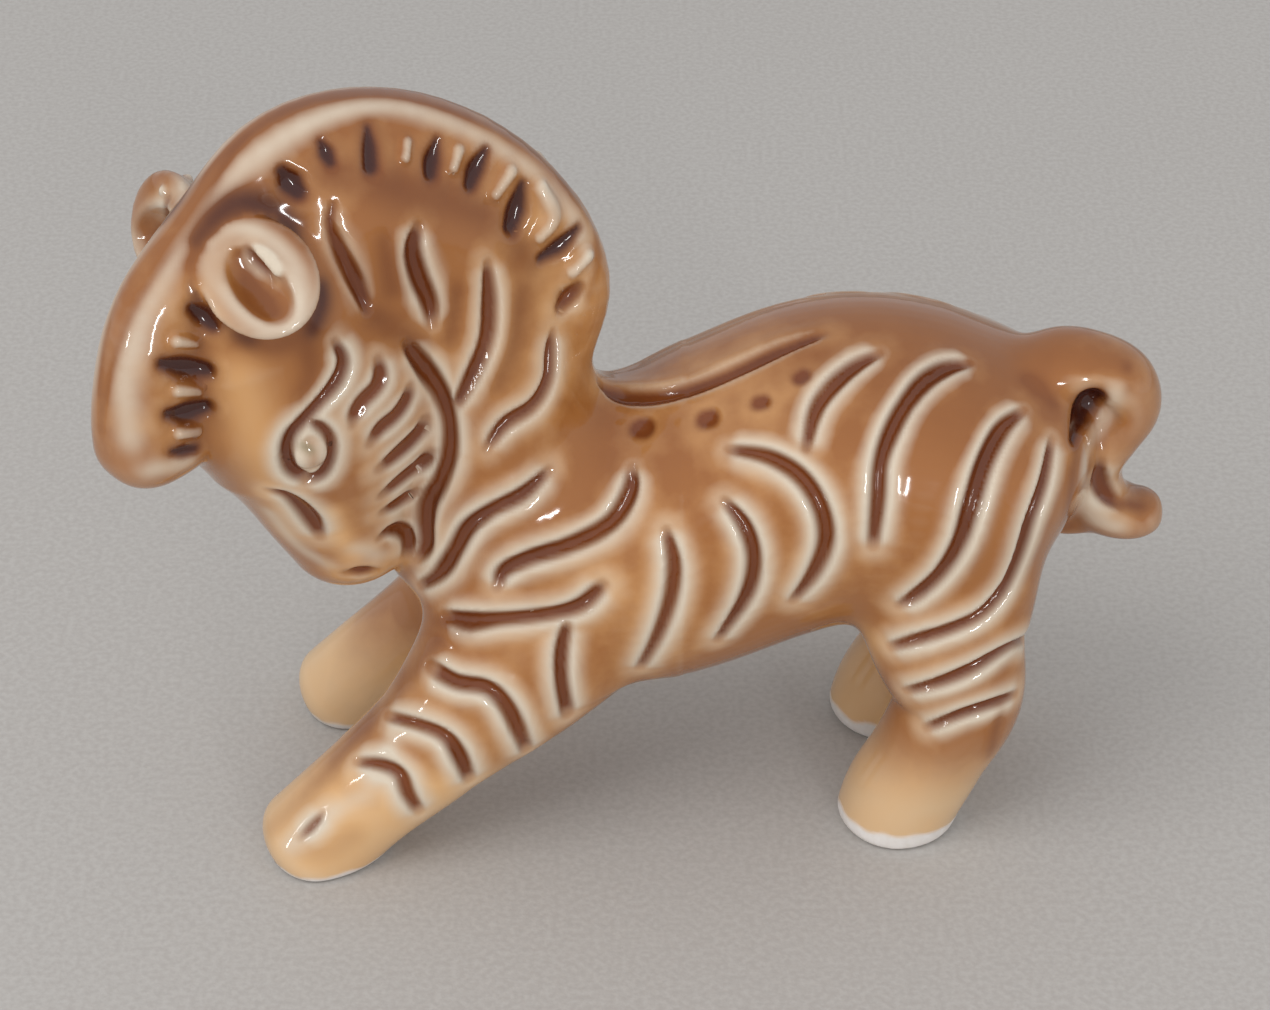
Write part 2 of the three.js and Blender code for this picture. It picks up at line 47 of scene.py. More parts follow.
# Lengths are in millimetres here and turned into metres when a mesh is made.
# The forms repeat the clay model's own sizes, drawn finer, and are merged into one glazed skin.
mm = 0.001
turn = {"fromX": -3.6, "radius": 55, "degrees": 42}
skin = {
    "voxel": 0.32,
    "low": (-62, -32, -3), "high": (62, 24, 92),  # the block in which the clay is built
    "reach": 5.5,  # how far from a surface its distance is known
    "margin": 0.25,  # an eye owns the skin as far as this outside its ball
    "smooth": 3, "smoothCarved": 2,
}


def lerp(a, b, t):
    return a + (b - a) * t


def turnFrame(run):
    # place and sideways direction on the upright sheet that the neck, head and crest stand on
    run = np.asarray(run, float)
    full = math.radians(turn["degrees"])
    angle = np.clip(run / turn["radius"], 0, full)
    straight = np.where(run < 0, run, np.maximum(run - turn["radius"] * full, 0))
    x = turn["fromX"] - turn["radius"] * np.sin(angle) - straight * np.cos(angle)
    y = -turn["radius"] * (1 - np.cos(angle)) - straight * np.sin(angle)
    side = np.stack([np.sin(angle), -np.cos(angle), np.zeros_like(angle)], -1)
    return x, y, side


def onTurn(run, height):
    x, y, _ = turnFrame(run)
    return np.stack([x, y, np.broadcast_to(height, np.shape(x))], -1)


def mirrorOnTurn(points):
    # a point on one side of the head goes to the same place on the other side
    full = math.radians(turn["degrees"])
    centre = np.array([turn["fromX"], -turn["radius"]])
    rel = points[:, :2] - centre
    angle = np.arctan2(-rel[:, 0], rel[:, 1])
    out = points.copy()
    bent = (angle > 0) & (angle < full)
    radius = np.linalg.norm(rel, axis=1)
    flipped = 2 * turn["radius"] - radius
    out[bent, 0] = centre[0] - flipped[bent] * np.sin(angle[bent])
    out[bent, 1] = centre[1] + flipped[bent] * np.cos(angle[bent])
    end = angle >= full
    x, y, side = turnFrame(turn["radius"] * full)
    off = (points[:, :2] - np.array([x, y])) @ side[:2]
    out[end, :2] -= 2 * off[end, None] * side[:2]
    behind = angle <= 0
    out[behind, 1] *= -1
    return out


def spline(points, t):
    # centripetal curve through the points, with t running evenly from station to station
    points = np.asarray(points, float)
    x = np.asarray(t) * (len(points) - 1)
    i = np.clip(np.floor(x).astype(int), 0, len(points) - 2)
    w = (x - i)[..., None]
    more = np.vstack([2 * points[0] - points[1], points, 2 * points[-1] - points[-2]])
    p0, p1, p2, p3 = more[i], more[i + 1], more[i + 2], more[i + 3]

    def gap(a, b, other):
        d = ((b - a) ** 2).sum(-1, keepdims=True) ** 0.25
        return np.where(d < 1e-4, other, d)

    d1 = gap(p1, p2, 1.0)
    d0 = gap(p0, p1, d1)
    d2 = gap(p2, p3, d1)
    m1 = ((p1 - p0) / d0 - (p2 - p0) / (d0 + d1) + (p2 - p1) / d1) * d1
    m2 = ((p2 - p1) / d1 - (p3 - p1) / (d1 + d2) + (p3 - p2) / d2) * d1
    return p1 + m1 * w + (3 * (p2 - p1) - 2 * m1 - m2) * w**2 + (2 * (p1 - p2) + m1 + m2) * w**3


class Loft:
    # an oval section carried along a curve: rows of centre, side, depth and width
    def __init__(self, at, side, deep, wide, startRound=0.15, endRound=0.15, square=2.0):
        self.at, self.side = np.asarray(at, float), np.asarray(side, float)
        self.half = np.stack([np.asarray(deep) / 2, np.asarray(wide) / 2, 0 * np.asarray(deep)], -1)
        self.startRound, self.endRound, self.square = startRound, endRound, square

    def points(self, t, angle):
        step = 1e-4
        ahead, back = np.minimum(t + step, 1), np.maximum(t - step, 0)
        along = spline(self.at, ahead) - spline(self.at, back)
        along /= np.linalg.norm(along, axis=-1, keepdims=True)
        side = spline(self.side, t)
        side -= along * (side * along).sum(-1, keepdims=True)
        side /= np.linalg.norm(side, axis=-1, keepdims=True)
        up = np.cross(side, along)
        half = spline(self.half, t)
        inward = np.minimum(np.minimum(t / self.startRound, (1 - t) / self.endRound), 1)
        dome = np.sqrt(np.maximum(1 - (1 - inward) ** 2, 0))[..., None]

        def bulge(v):
            return (np.sign(v) * np.abs(v) ** (2 / self.square))[..., None]

        return (spline(self.at, t) + up * half[..., :1] * dome * bulge(np.cos(angle))
                + side * half[..., 1:2] * dome * bulge(np.sin(angle)))

    def mesh(self, rings=90, sectors=72):
        even = np.arange(1, rings) / rings
        t = lerp(even, (1 - np.cos(np.pi * even)) / 2, 0.92)  # closer rings at the rounded ends
        angle = 2 * np.pi * np.arange(sectors) / sectors
        grid = self.points(np.repeat(t, sectors), np.tile(angle, rings - 1))
        ends = spline(self.at, np.array([0.0, 1.0]))
        places = np.vstack([ends[:1], grid, ends[1:]])
        ring, sector = np.meshgrid(np.arange(rings - 2), np.arange(sectors), indexing="ij")
        a = 1 + ring * sectors + sector
        b = 1 + ring * sectors + (sector + 1) % sectors
        quads = np.stack([a, b, b + sectors, a + sectors], -1).reshape(-1, 4)
        around = np.arange(sectors)
        beside = (around + 1) % sectors
        last = 1 + (rings - 2) * sectors
        caps = np.vstack([
            np.stack([0 * around, 1 + beside, 1 + around], -1),
            np.stack([0 * around + len(places) - 1, last + around, last + beside], -1),
        ])
        return places, caps, quads


def straightLoft(x, y, z, deep, wide, *how):
    # stands on the body's own middle
    at = np.stack([x, y, z], -1)
    return Loft(at, np.tile([0, -1, 0], (len(at), 1)), deep, wide, *how)


def turnedLoft(run, height, deep, wide, *how):
    # stands on the upright sheet
    return Loft(onTurn(run, height), turnFrame(run)[2], deep, wide, *how)


# In each piece, "ends" are the shares of its length over which it rounds off at its two ends.
# Torso: share of the length, of the climb, of the depth and of the width
torso = {
    "breast": (-20, 27), "length": 65, "climb": 12.5, "deep": 34, "wide": 31, "ends": (0.16, 0.2),
    "shares": [
        (0, 0, 0.72, 0.7), (0.12, 0.1, 0.82, 0.8), (0.31, 0.24, 0.94, 0.95), (0.5, 0.72, 0.99, 0.97),
        (0.64, 1, 1, 1), (0.77, 0.97, 0.94, 1.02), (0.9, 0.86, 0.79, 0.92), (1, 0.64, 0.79, 0.75),
    ],
}


def torsoLoft():
    along, lift, deep, wide = np.array(torso["shares"]).T
    x, z = torso["breast"]
    return straightLoft(x + along * torso["length"], 0 * along, z + lift * torso["climb"],
                        deep * torso["deep"], wide * torso["wide"], *torso["ends"])


# Neck: share of the reach forward, of the rise, of the depth and of the width
neck = {
    "run": 9, "foot": 24, "reach": 27, "rise": 48.5, "deep": 24, "wide": 20, "ends": (0.1, 0.2),
    "shares": [
        (0, 0, 1, 1.1), (0.04, 0.24, 1.08, 1.15), (0.11, 0.44, 0.98, 1.02), (0.19, 0.64, 0.98, 0.92),
        (0.37, 0.84, 1, 0.86), (0.67, 0.96, 1, 0.82), (1, 1, 0.92, 0.75),
    ],
}


def neckLoft():
    forward, up, deep, wide = np.array(neck["shares"]).T
    return turnedLoft(neck["run"] + forward * neck["reach"], neck["foot"] + up * neck["rise"],
                      deep * neck["deep"], wide * neck["wide"], *neck["ends"])


# Head, from the poll down to the lips: share of the reach back, the drop, the depth and the width
head = {
    "run": 38, "crown": 77, "reach": 14, "drop": 47.4, "deep": 29, "wide": 22, "ends": (0.14, 0.14),
    "shares": [
        (0, 0, 0.4, 0.5), (0.08, 0.11, 0.58, 0.68), (0.3, 0.26, 0.86, 0.9), (0.56, 0.44, 1.02, 1),
        (0.7, 0.61, 0.87, 0.92), (0.78, 0.77, 0.62, 0.72), (0.88, 0.89, 0.49, 0.6), (1, 1, 0.42, 0.52),
    ],
}


def headLoft():
    back, down, deep, wide = np.array(head["shares"]).T
    return turnedLoft(head["run"] - back * head["reach"], head["crown"] - down * head["drop"],
                      deep * head["deep"], wide * head["wide"], *head["ends"])


# Mane crest: degrees round, share of the radius, of the band's depth and of its width
crest = {
    "run": 28.5, "height": 56, "rearRadius": 23.5, "topRadius": 22.8, "frontRadius": 18.5,
    "deep": 11, "wide": 7.6, "ends": (0.08, 0.07), "square": 2.6,
    "shares": [
        (-34, 0.84, 0.45, 0.5), (-16, 0.915, 0.75, 0.8), (10, 1.045, 1, 0.95), (38, 1.03, 1, 1),
        (68, 1.005, 1, 1), (98, 0.965, 1, 1), (128, 0.89, 1, 1), (153, 0.99, 1.03, 1.05),
        (176, 1.01, 1.08, 1.2), (195, 1.02, 1.1, 1.3),
    ],
}


def crestLoft():
    degrees, out, deep, wide = np.array(crest["shares"]).T
    across, up = out * np.cos(np.radians(degrees)), out * np.sin(np.radians(degrees))
    run = crest["run"] - across * np.where(across > 0, crest["rearRadius"], crest["frontRadius"])
    return turnedLoft(run, crest["height"] + up * crest["topRadius"], deep * crest["deep"],
                      wide * crest["wide"], *crest["ends"], crest["square"])


# Legs, from the body down: share of the reach, of the height, of the spread, thickness fore and
# aft and sideways
foreLegs = {
    "hip": (-6, 7, 29), "thick": 12.6, "feet": {"left": (-36.5, 15.4), "right": (-34.5, 10.5)},
    "ends": (0.2, 0.1),
    "shares": [
        (0, 1, 0, 1.95, 1.08), (0.24, 0.71, 0.38, 1.58, 1.08), (0.5, 0.43, 0.66, 1.09, 0.98),
        (0.76, 0.19, 0.86, 0.96, 0.94), (1, -0.07, 1, 1, 1),
    ],
}
hindLegs = {
    "hipX": 33, "footX": 26.8, "hipZ": 36, "stance": {"left": 9.8, "right": 8.4}, "thick": 12.4,
    "ends": (0.2, 0.1),
    "shares": [
        (-0.1, 1.1, 0.7, 1.86, 1.3), (0.2, 0.7, 0.92, 1.37, 1.16), (-0.06, 0.46, 1, 1.1, 1),
        (0.34, 0.25, 1, 0.98, 0.92), (0.78, 0.08, 1, 1, 0.98), (1, -0.06, 1, 0.96, 0.96),
    ],
}


def foreLegLoft(name):
    reach, up, out, deep, wide = np.array(foreLegs["shares"]).T
    x, y, z = foreLegs["hip"]
    footX, footY = foreLegs["feet"][name]
    way = -1 if name == "left" else 1
    return straightLoft(lerp(x, footX, reach), way * lerp(y, footY, out), up * z,
                        deep * foreLegs["thick"], wide * foreLegs["thick"], *foreLegs["ends"])


def hindLegLoft(name):
    reach, up, out, deep, wide = np.array(hindLegs["shares"]).T
    way = -1 if name == "left" else 1
    x = lerp(hindLegs["hipX"], hindLegs["footX"], reach)
    return straightLoft(x, way * out * hindLegs["stance"][name], up * hindLegs["hipZ"],
                        deep * hindLegs["thick"], wide * hindLegs["thick"], *hindLegs["ends"])


# Tail: share of the reach back, of the drop and of the thickness, and the web it lies on
tail = {
    "rootX": 38, "reach": 14.2, "top": 50.6, "drop": 19.5, "thick": 7.8, "wide": 11,
    "ends": (0.05, 0.06),
    "shares": [
        (0, 0.16, 0.95), (0.32, -0.01, 0.82), (0.58, 0, 0.76), (0.8, 0.09, 0.74), (0.865, 0.23, 0.72),
        (0.75, 0.41, 0.7), (0.62, 0.58, 0.68), (0.62, 0.74, 0.73), (0.76, 0.88, 0.73),
        (0.96, 0.92, 0.64), (1.14, 0.86, 0.46),
    ],
    "webDeep": 8, "webWide": 4, "web": [(0.2, 0.12), (0.5, 0.42), (0.46, 1.06)],
    "pitFloor": (46.8, 0.5, 45.6), "pitRound": 2.9,  # the clay at the bottom of the curl's pit
}


def tailLoft():
    back, down, thick = np.array(tail["shares"]).T
    x, z = tail["rootX"] + back * tail["reach"], tail["top"] - down * tail["drop"]
    return straightLoft(x, 0 * x, z, thick * tail["thick"], thick * tail["wide"], *tail["ends"])


def tailWebLoft():
    back, down = np.array(tail["web"]).T
    x, z = tail["rootX"] + back * tail["reach"], tail["top"] - down * tail["drop"]
    one = np.ones(len(x))
    return straightLoft(x, 0 * x, z, one * tail["webDeep"], one * tail["webWide"])


# Ears: shallow cups on short stems. Rows from the root: share of the depth, of the length and of
# the width. Each faces out, ahead and up by its face shares, and its long axis droops outwards.
ears = {
    "place": {"left": (10.2, 15.8), "right": (10.8, 15.2)},  # ahead of the crest's middle, above it
    "face": {"left": (0.55, 0.45, 0.6), "right": (0.1, 0.85, 0.25)},
    "out": 7.2, "stem": 7, "rim": 1.6, "long": 12, "wide": 10.6, "droop": (0.75, -0.2, -0.64),
    "shares": [(0, 0.5, 0.5), (0.4, 0.62, 0.62), (0.68, 0.9, 0.9), (0.85, 1, 1), (1, 0.98, 0.98)],
    "hollow": [(0, 0.5, 0.5), (0.35, 0.86, 0.84), (0.7, 1.05, 1.05), (1, 1.3, 1.3)],
    "hollowDeep": 2.3, "hollowLong": 9.6, "hollowWide": 5.4, "hollowAlong": 0.8, "hollowAside": 0.5,
    "ends": (0.2, 0.24), "hollowEnds": (0.3, 0.1),
}


def earFrame(name):
    way = 1 if name == "left" else -1
    ahead, up = ears["place"][name]
    side = turnFrame(crest["run"] + ahead)[2]
    axes = np.array([side * way, [side[1], -side[0], 0], [0, 0, 1]])
    face = np.array(ears["face"][name]) @ axes
    face /= np.linalg.norm(face)
    droop = np.array(ears["droop"]) @ axes
    droop -= face * (droop @ face)
    centre = onTurn(crest["run"] + ahead, crest["height"] + up) + axes[0] * ears["out"]
    return centre, face, droop / np.linalg.norm(droop)


def earLoft(name):
    centre, face, droop = earFrame(name)
    inward, long, wide = np.array(ears["shares"]).T
    at = centre + face * lerp(-ears["stem"], ears["rim"], inward)[:, None]
    return Loft(at, np.tile(droop, (len(at), 1)), wide * ears["wide"], long * ears["long"],
                *ears["ends"])


def earHollowLoft(name):
    centre, face, droop = earFrame(name)
    inward, long, wide = np.array(ears["hollow"]).T
    floor = ears["rim"] - ears["hollowDeep"]
    aside = np.cross(droop, face) * (1 if name == "left" else -1)
    at = (centre + droop * ears["hollowAlong"] + aside * ears["hollowAside"]
          + face * lerp(floor, ears["rim"] + ears["hollowDeep"], inward)[:, None])
    return Loft(at, np.tile(droop, (len(at), 1)), wide * ears["hollowWide"],
                long * ears["hollowLong"], *ears["hollowEnds"])


# Eyes: how far a ball stands proud, and its share of the way down the skull and of the way round it
eyes = {"radius": 1.9, "proud": 0.9, "share": 0.462, "round": 0.312}


def eyeCentre(loft, name):
    way = 1 if name == "left" else -1
    angle = way * eyes["round"] * 2 * math.pi
    t = np.array([eyes["share"]])
    surface = loft.points(t, np.array([angle]))[0]
    inside = spline(loft.at, t)[0]
    inward = (inside - surface) / np.linalg.norm(inside - surface)
    return surface + inward * (eyes["radius"] - eyes["proud"])


def blend(a, b, fillet):
    # how much a soft fillet adds or takes where the distances to two forms are about equal
    soft = np.maximum(fillet - np.abs(a - b), 0) / fillet
    return soft**3 * fillet / 6


class Field:
    # signed distances to the clay forms on one block of cells, joined with soft fillets
    def __init__(self):
        self.voxel = skin["voxel"]
        self.low = np.floor(np.array(skin["low"]) / self.voxel).astype(int)
        self.size = np.ceil(np.array(skin["high"]) / self.voxel).astype(int) - self.low
        self.cells = np.full(self.size, skin["reach"], np.float32)
        self.owner = np.zeros(self.size, np.int8)
        self.nearest = np.full(self.size, skin["reach"], np.float32)

    def window(self, low, high):
        return tuple(slice(a, b) for a, b in zip(low - self.low, high - self.low))

    def distance(self, loft):
        places, caps, quads = loft.mesh()
        to = openvdb.createLinearTransform(voxelSize=self.voxel)
        halfWidth = skin["reach"] / self.voxel
        grid = openvdb.FloatGrid.createLevelSetFromPolygons(
            places.astype(np.float32), caps.astype(np.uint32), quads.astype(np.uint32), to, halfWidth)
        low = np.floor((places.min(0) - skin["reach"]) / self.voxel).astype(int)
        high = np.ceil((places.max(0) + skin["reach"]) / self.voxel).astype(int)
        low, high = np.maximum(low, self.low), np.minimum(high, self.low + self.size)
        block = np.empty(high - low, np.float32)
        grid.copyToArray(block, ijk=tuple(int(v) for v in low))
        return self.window(low, high), block

    def join(self, loft, fillet, owner):
        where, block = self.distance(loft)
        old = self.cells[where]
        self.cells[where] = np.minimum(old, block) - blend(old, block, fillet)
        closer = block < self.nearest[where]
        self.owner[where][closer] = owner
        self.nearest[where][closer] = block[closer]

    def cut(self, loft, fillet):
        where, block = self.distance(loft)
        old = self.cells[where]
        self.cells[where] = np.maximum(old, -block) + blend(old, -block, fillet)

    def ball(self, centre, radius):
        low = np.floor((centre - radius - 2) / self.voxel).astype(int)
        high = np.ceil((centre + radius + 2) / self.voxel).astype(int)
        axes = [np.arange(a, b) * self.voxel for a, b in zip(low, high)]
        cells = np.stack(np.meshgrid(*axes, indexing="ij"), -1)
        block = (np.linalg.norm(cells - centre, axis=-1) - radius).astype(np.float32)
        return self.window(low, high), block

    def joinBall(self, centre, radius, fillet, owner):
        where, block = self.ball(centre, radius)
        old = self.cells[where]
        self.cells[where] = np.minimum(old, block) - blend(old, block, fillet)
        self.owner[where][block < skin["margin"]] = owner

    def cutGround(self, fillet):
        # the feet are ground flat where they stand
        below = -(self.low[2] + np.arange(self.size[2])) * self.voxel
        cut = np.maximum(self.cells, below) + blend(self.cells, below, fillet)
        self.cells = cut.astype(np.float32)

    def ownerAt(self, places):
        cell = np.rint(places / self.voxel).astype(int) - self.low
        cell = np.clip(cell, 0, self.size - 1)
        return self.owner[cell[:, 0], cell[:, 1], cell[:, 2]].astype(int)

    def surface(self):
        grid = openvdb.FloatGrid(background=skin["reach"])
        grid.copyFromArray(self.cells, ijk=tuple(int(v) for v in self.low))
        grid.transform = openvdb.createLinearTransform(voxelSize=self.voxel)
        points, quads = grid.convertToQuads(isovalue=0.0)
        return points.astype(float), quads.astype(int)


names = ["torso", "neck", "head", "mane_crest", "left_ear", "right_ear", "tail",
         "left_fore_leg", "right_fore_leg", "left_hind_leg", "right_hind_leg",
         "left_eye", "right_eye",
         "left_fore_foot", "right_fore_foot", "left_hind_foot", "right_hind_foot"]
order = {name: i for i, name in enumerate(names)}

# How wide the soft fillet is with which each form joins those before it
fillets = {
    "torso": 0.5, "neck": 9, "leg": 5, "crest": 4, "head": 2.2, "ear": 1.0, "eye": 0.7, "web": 2,
    "tail": 3, "pitFloor": 1.0, "sole": 1.2,
}


def buildField():
    field = Field()
    field.join(torsoLoft(), fillets["torso"], order["torso"])
    field.join(neckLoft(), fillets["neck"], order["neck"])
    for name in ("left", "right"):
        field.join(foreLegLoft(name), fillets["leg"], order[name + "_fore_leg"])
        field.join(hindLegLoft(name), fillets["leg"], order[name + "_hind_leg"])
    field.join(crestLoft(), fillets["crest"], order["mane_crest"])
    skull = headLoft()
    field.join(skull, fillets["head"], order["head"])
    for name in ("left", "right"):
        field.join(earLoft(name), fillets["ear"], order[name + "_ear"])
        field.cut(earHollowLoft(name), fillets["ear"])
        field.joinBall(eyeCentre(skull, name), eyes["radius"], fillets["eye"], order[name + "_eye"])
    field.join(tailWebLoft(), fillets["web"], order["tail"])
    field.join(tailLoft(), fillets["tail"], order["tail"])
    field.joinBall(np.array(tail["pitFloor"]), tail["pitRound"], fillets["pitFloor"], order["tail"])
    field.cutGround(fillets["sole"])
    return field


# The camera stands where the photograph was taken, and the grooves' places were read in its pixels
camera = {
    "elevation": 35, "distance": 350, "pixelsPerMm": 9.7, "aim": (0, 0, 33.35),
    "width": 1270, "height": 1010, "sensor": 36,
}


def cameraAxes():
    tilt = math.radians(camera["elevation"])
    ahead = np.array([0, math.cos(tilt), -math.sin(tilt)])
    right = np.array([1.0, 0, 0])
    return ahead, right, np.cross(right, ahead)


def pixelRay(u, v):
    ahead, right, up = cameraAxes()
    eye = np.array(camera["aim"], float) - ahead * camera["distance"]
    focal = camera["pixelsPerMm"] * camera["distance"]
    way = ahead * focal + right * (u - camera["width"] / 2) - up * (v - camera["height"] / 2)
    return Vector(eye), Vector(way).normalized()


class Skin:
    # the merged surface: its points, faces, normals and neighbour links
    def __init__(self, points, quads):
        self.points, self.quads = points, quads
        pairs = np.vstack([quads[:, [i, (i + 1) % 4]] for i in range(4)])
        self.pairs = np.unique(np.sort(pairs, axis=1), axis=0)
        self.links = np.bincount(self.pairs.ravel(), minlength=len(points))
        self.tree = BVHTree.FromPolygons(points.tolist(), quads.tolist())

    def nearest(self, points, which=0):
        # for each of the points the nearest place on the skin, or with 1 the way it faces there
        return np.array([list(self.tree.find_nearest(Vector(p))[which]) for p in points])

    def average(self, values):
        # the mean over the neighbours of each point
        out = np.zeros_like(values)
        a, b = self.pairs.T
        columns = values.reshape(len(values), -1)
        flat = out.reshape(len(values), -1)
        for i in range(columns.shape[1]):
            flat[:, i] = (np.bincount(a, columns[b, i], len(values))
                          + np.bincount(b, columns[a, i], len(values))) / self.links
        return out

    def blur(self, values, times):
        for _ in range(times):
            values = 0.5 * values + 0.5 * self.average(values)
        return values

    def smooth(self, times, strength=0.5, back=-0.52):
        # evens out the cells' steps without shrinking the form
        for _ in range(times):
            for push in (strength, back):
                self.points = self.points + push * (self.average(self.points) - self.points)

    def normals(self):
        p = self.points[self.quads]
        face = np.cross(p[:, 2] - p[:, 0], p[:, 3] - p[:, 1])
        out = np.zeros_like(self.points)
        for i in range(4):
            for axis in range(3):
                out[:, axis] += np.bincount(self.quads[:, i], face[:, axis], len(out))
        return out / np.maximum(np.linalg.norm(out, axis=1, keepdims=True), 1e-9)

    def bend(self):
        # how hollow (above 0) or proud (below 0) the surface is, per millimetre
        toward = self.average(self.points) - self.points
        return (toward * self.normals()).sum(1) / (skin["voxel"] ** 2 / 4)


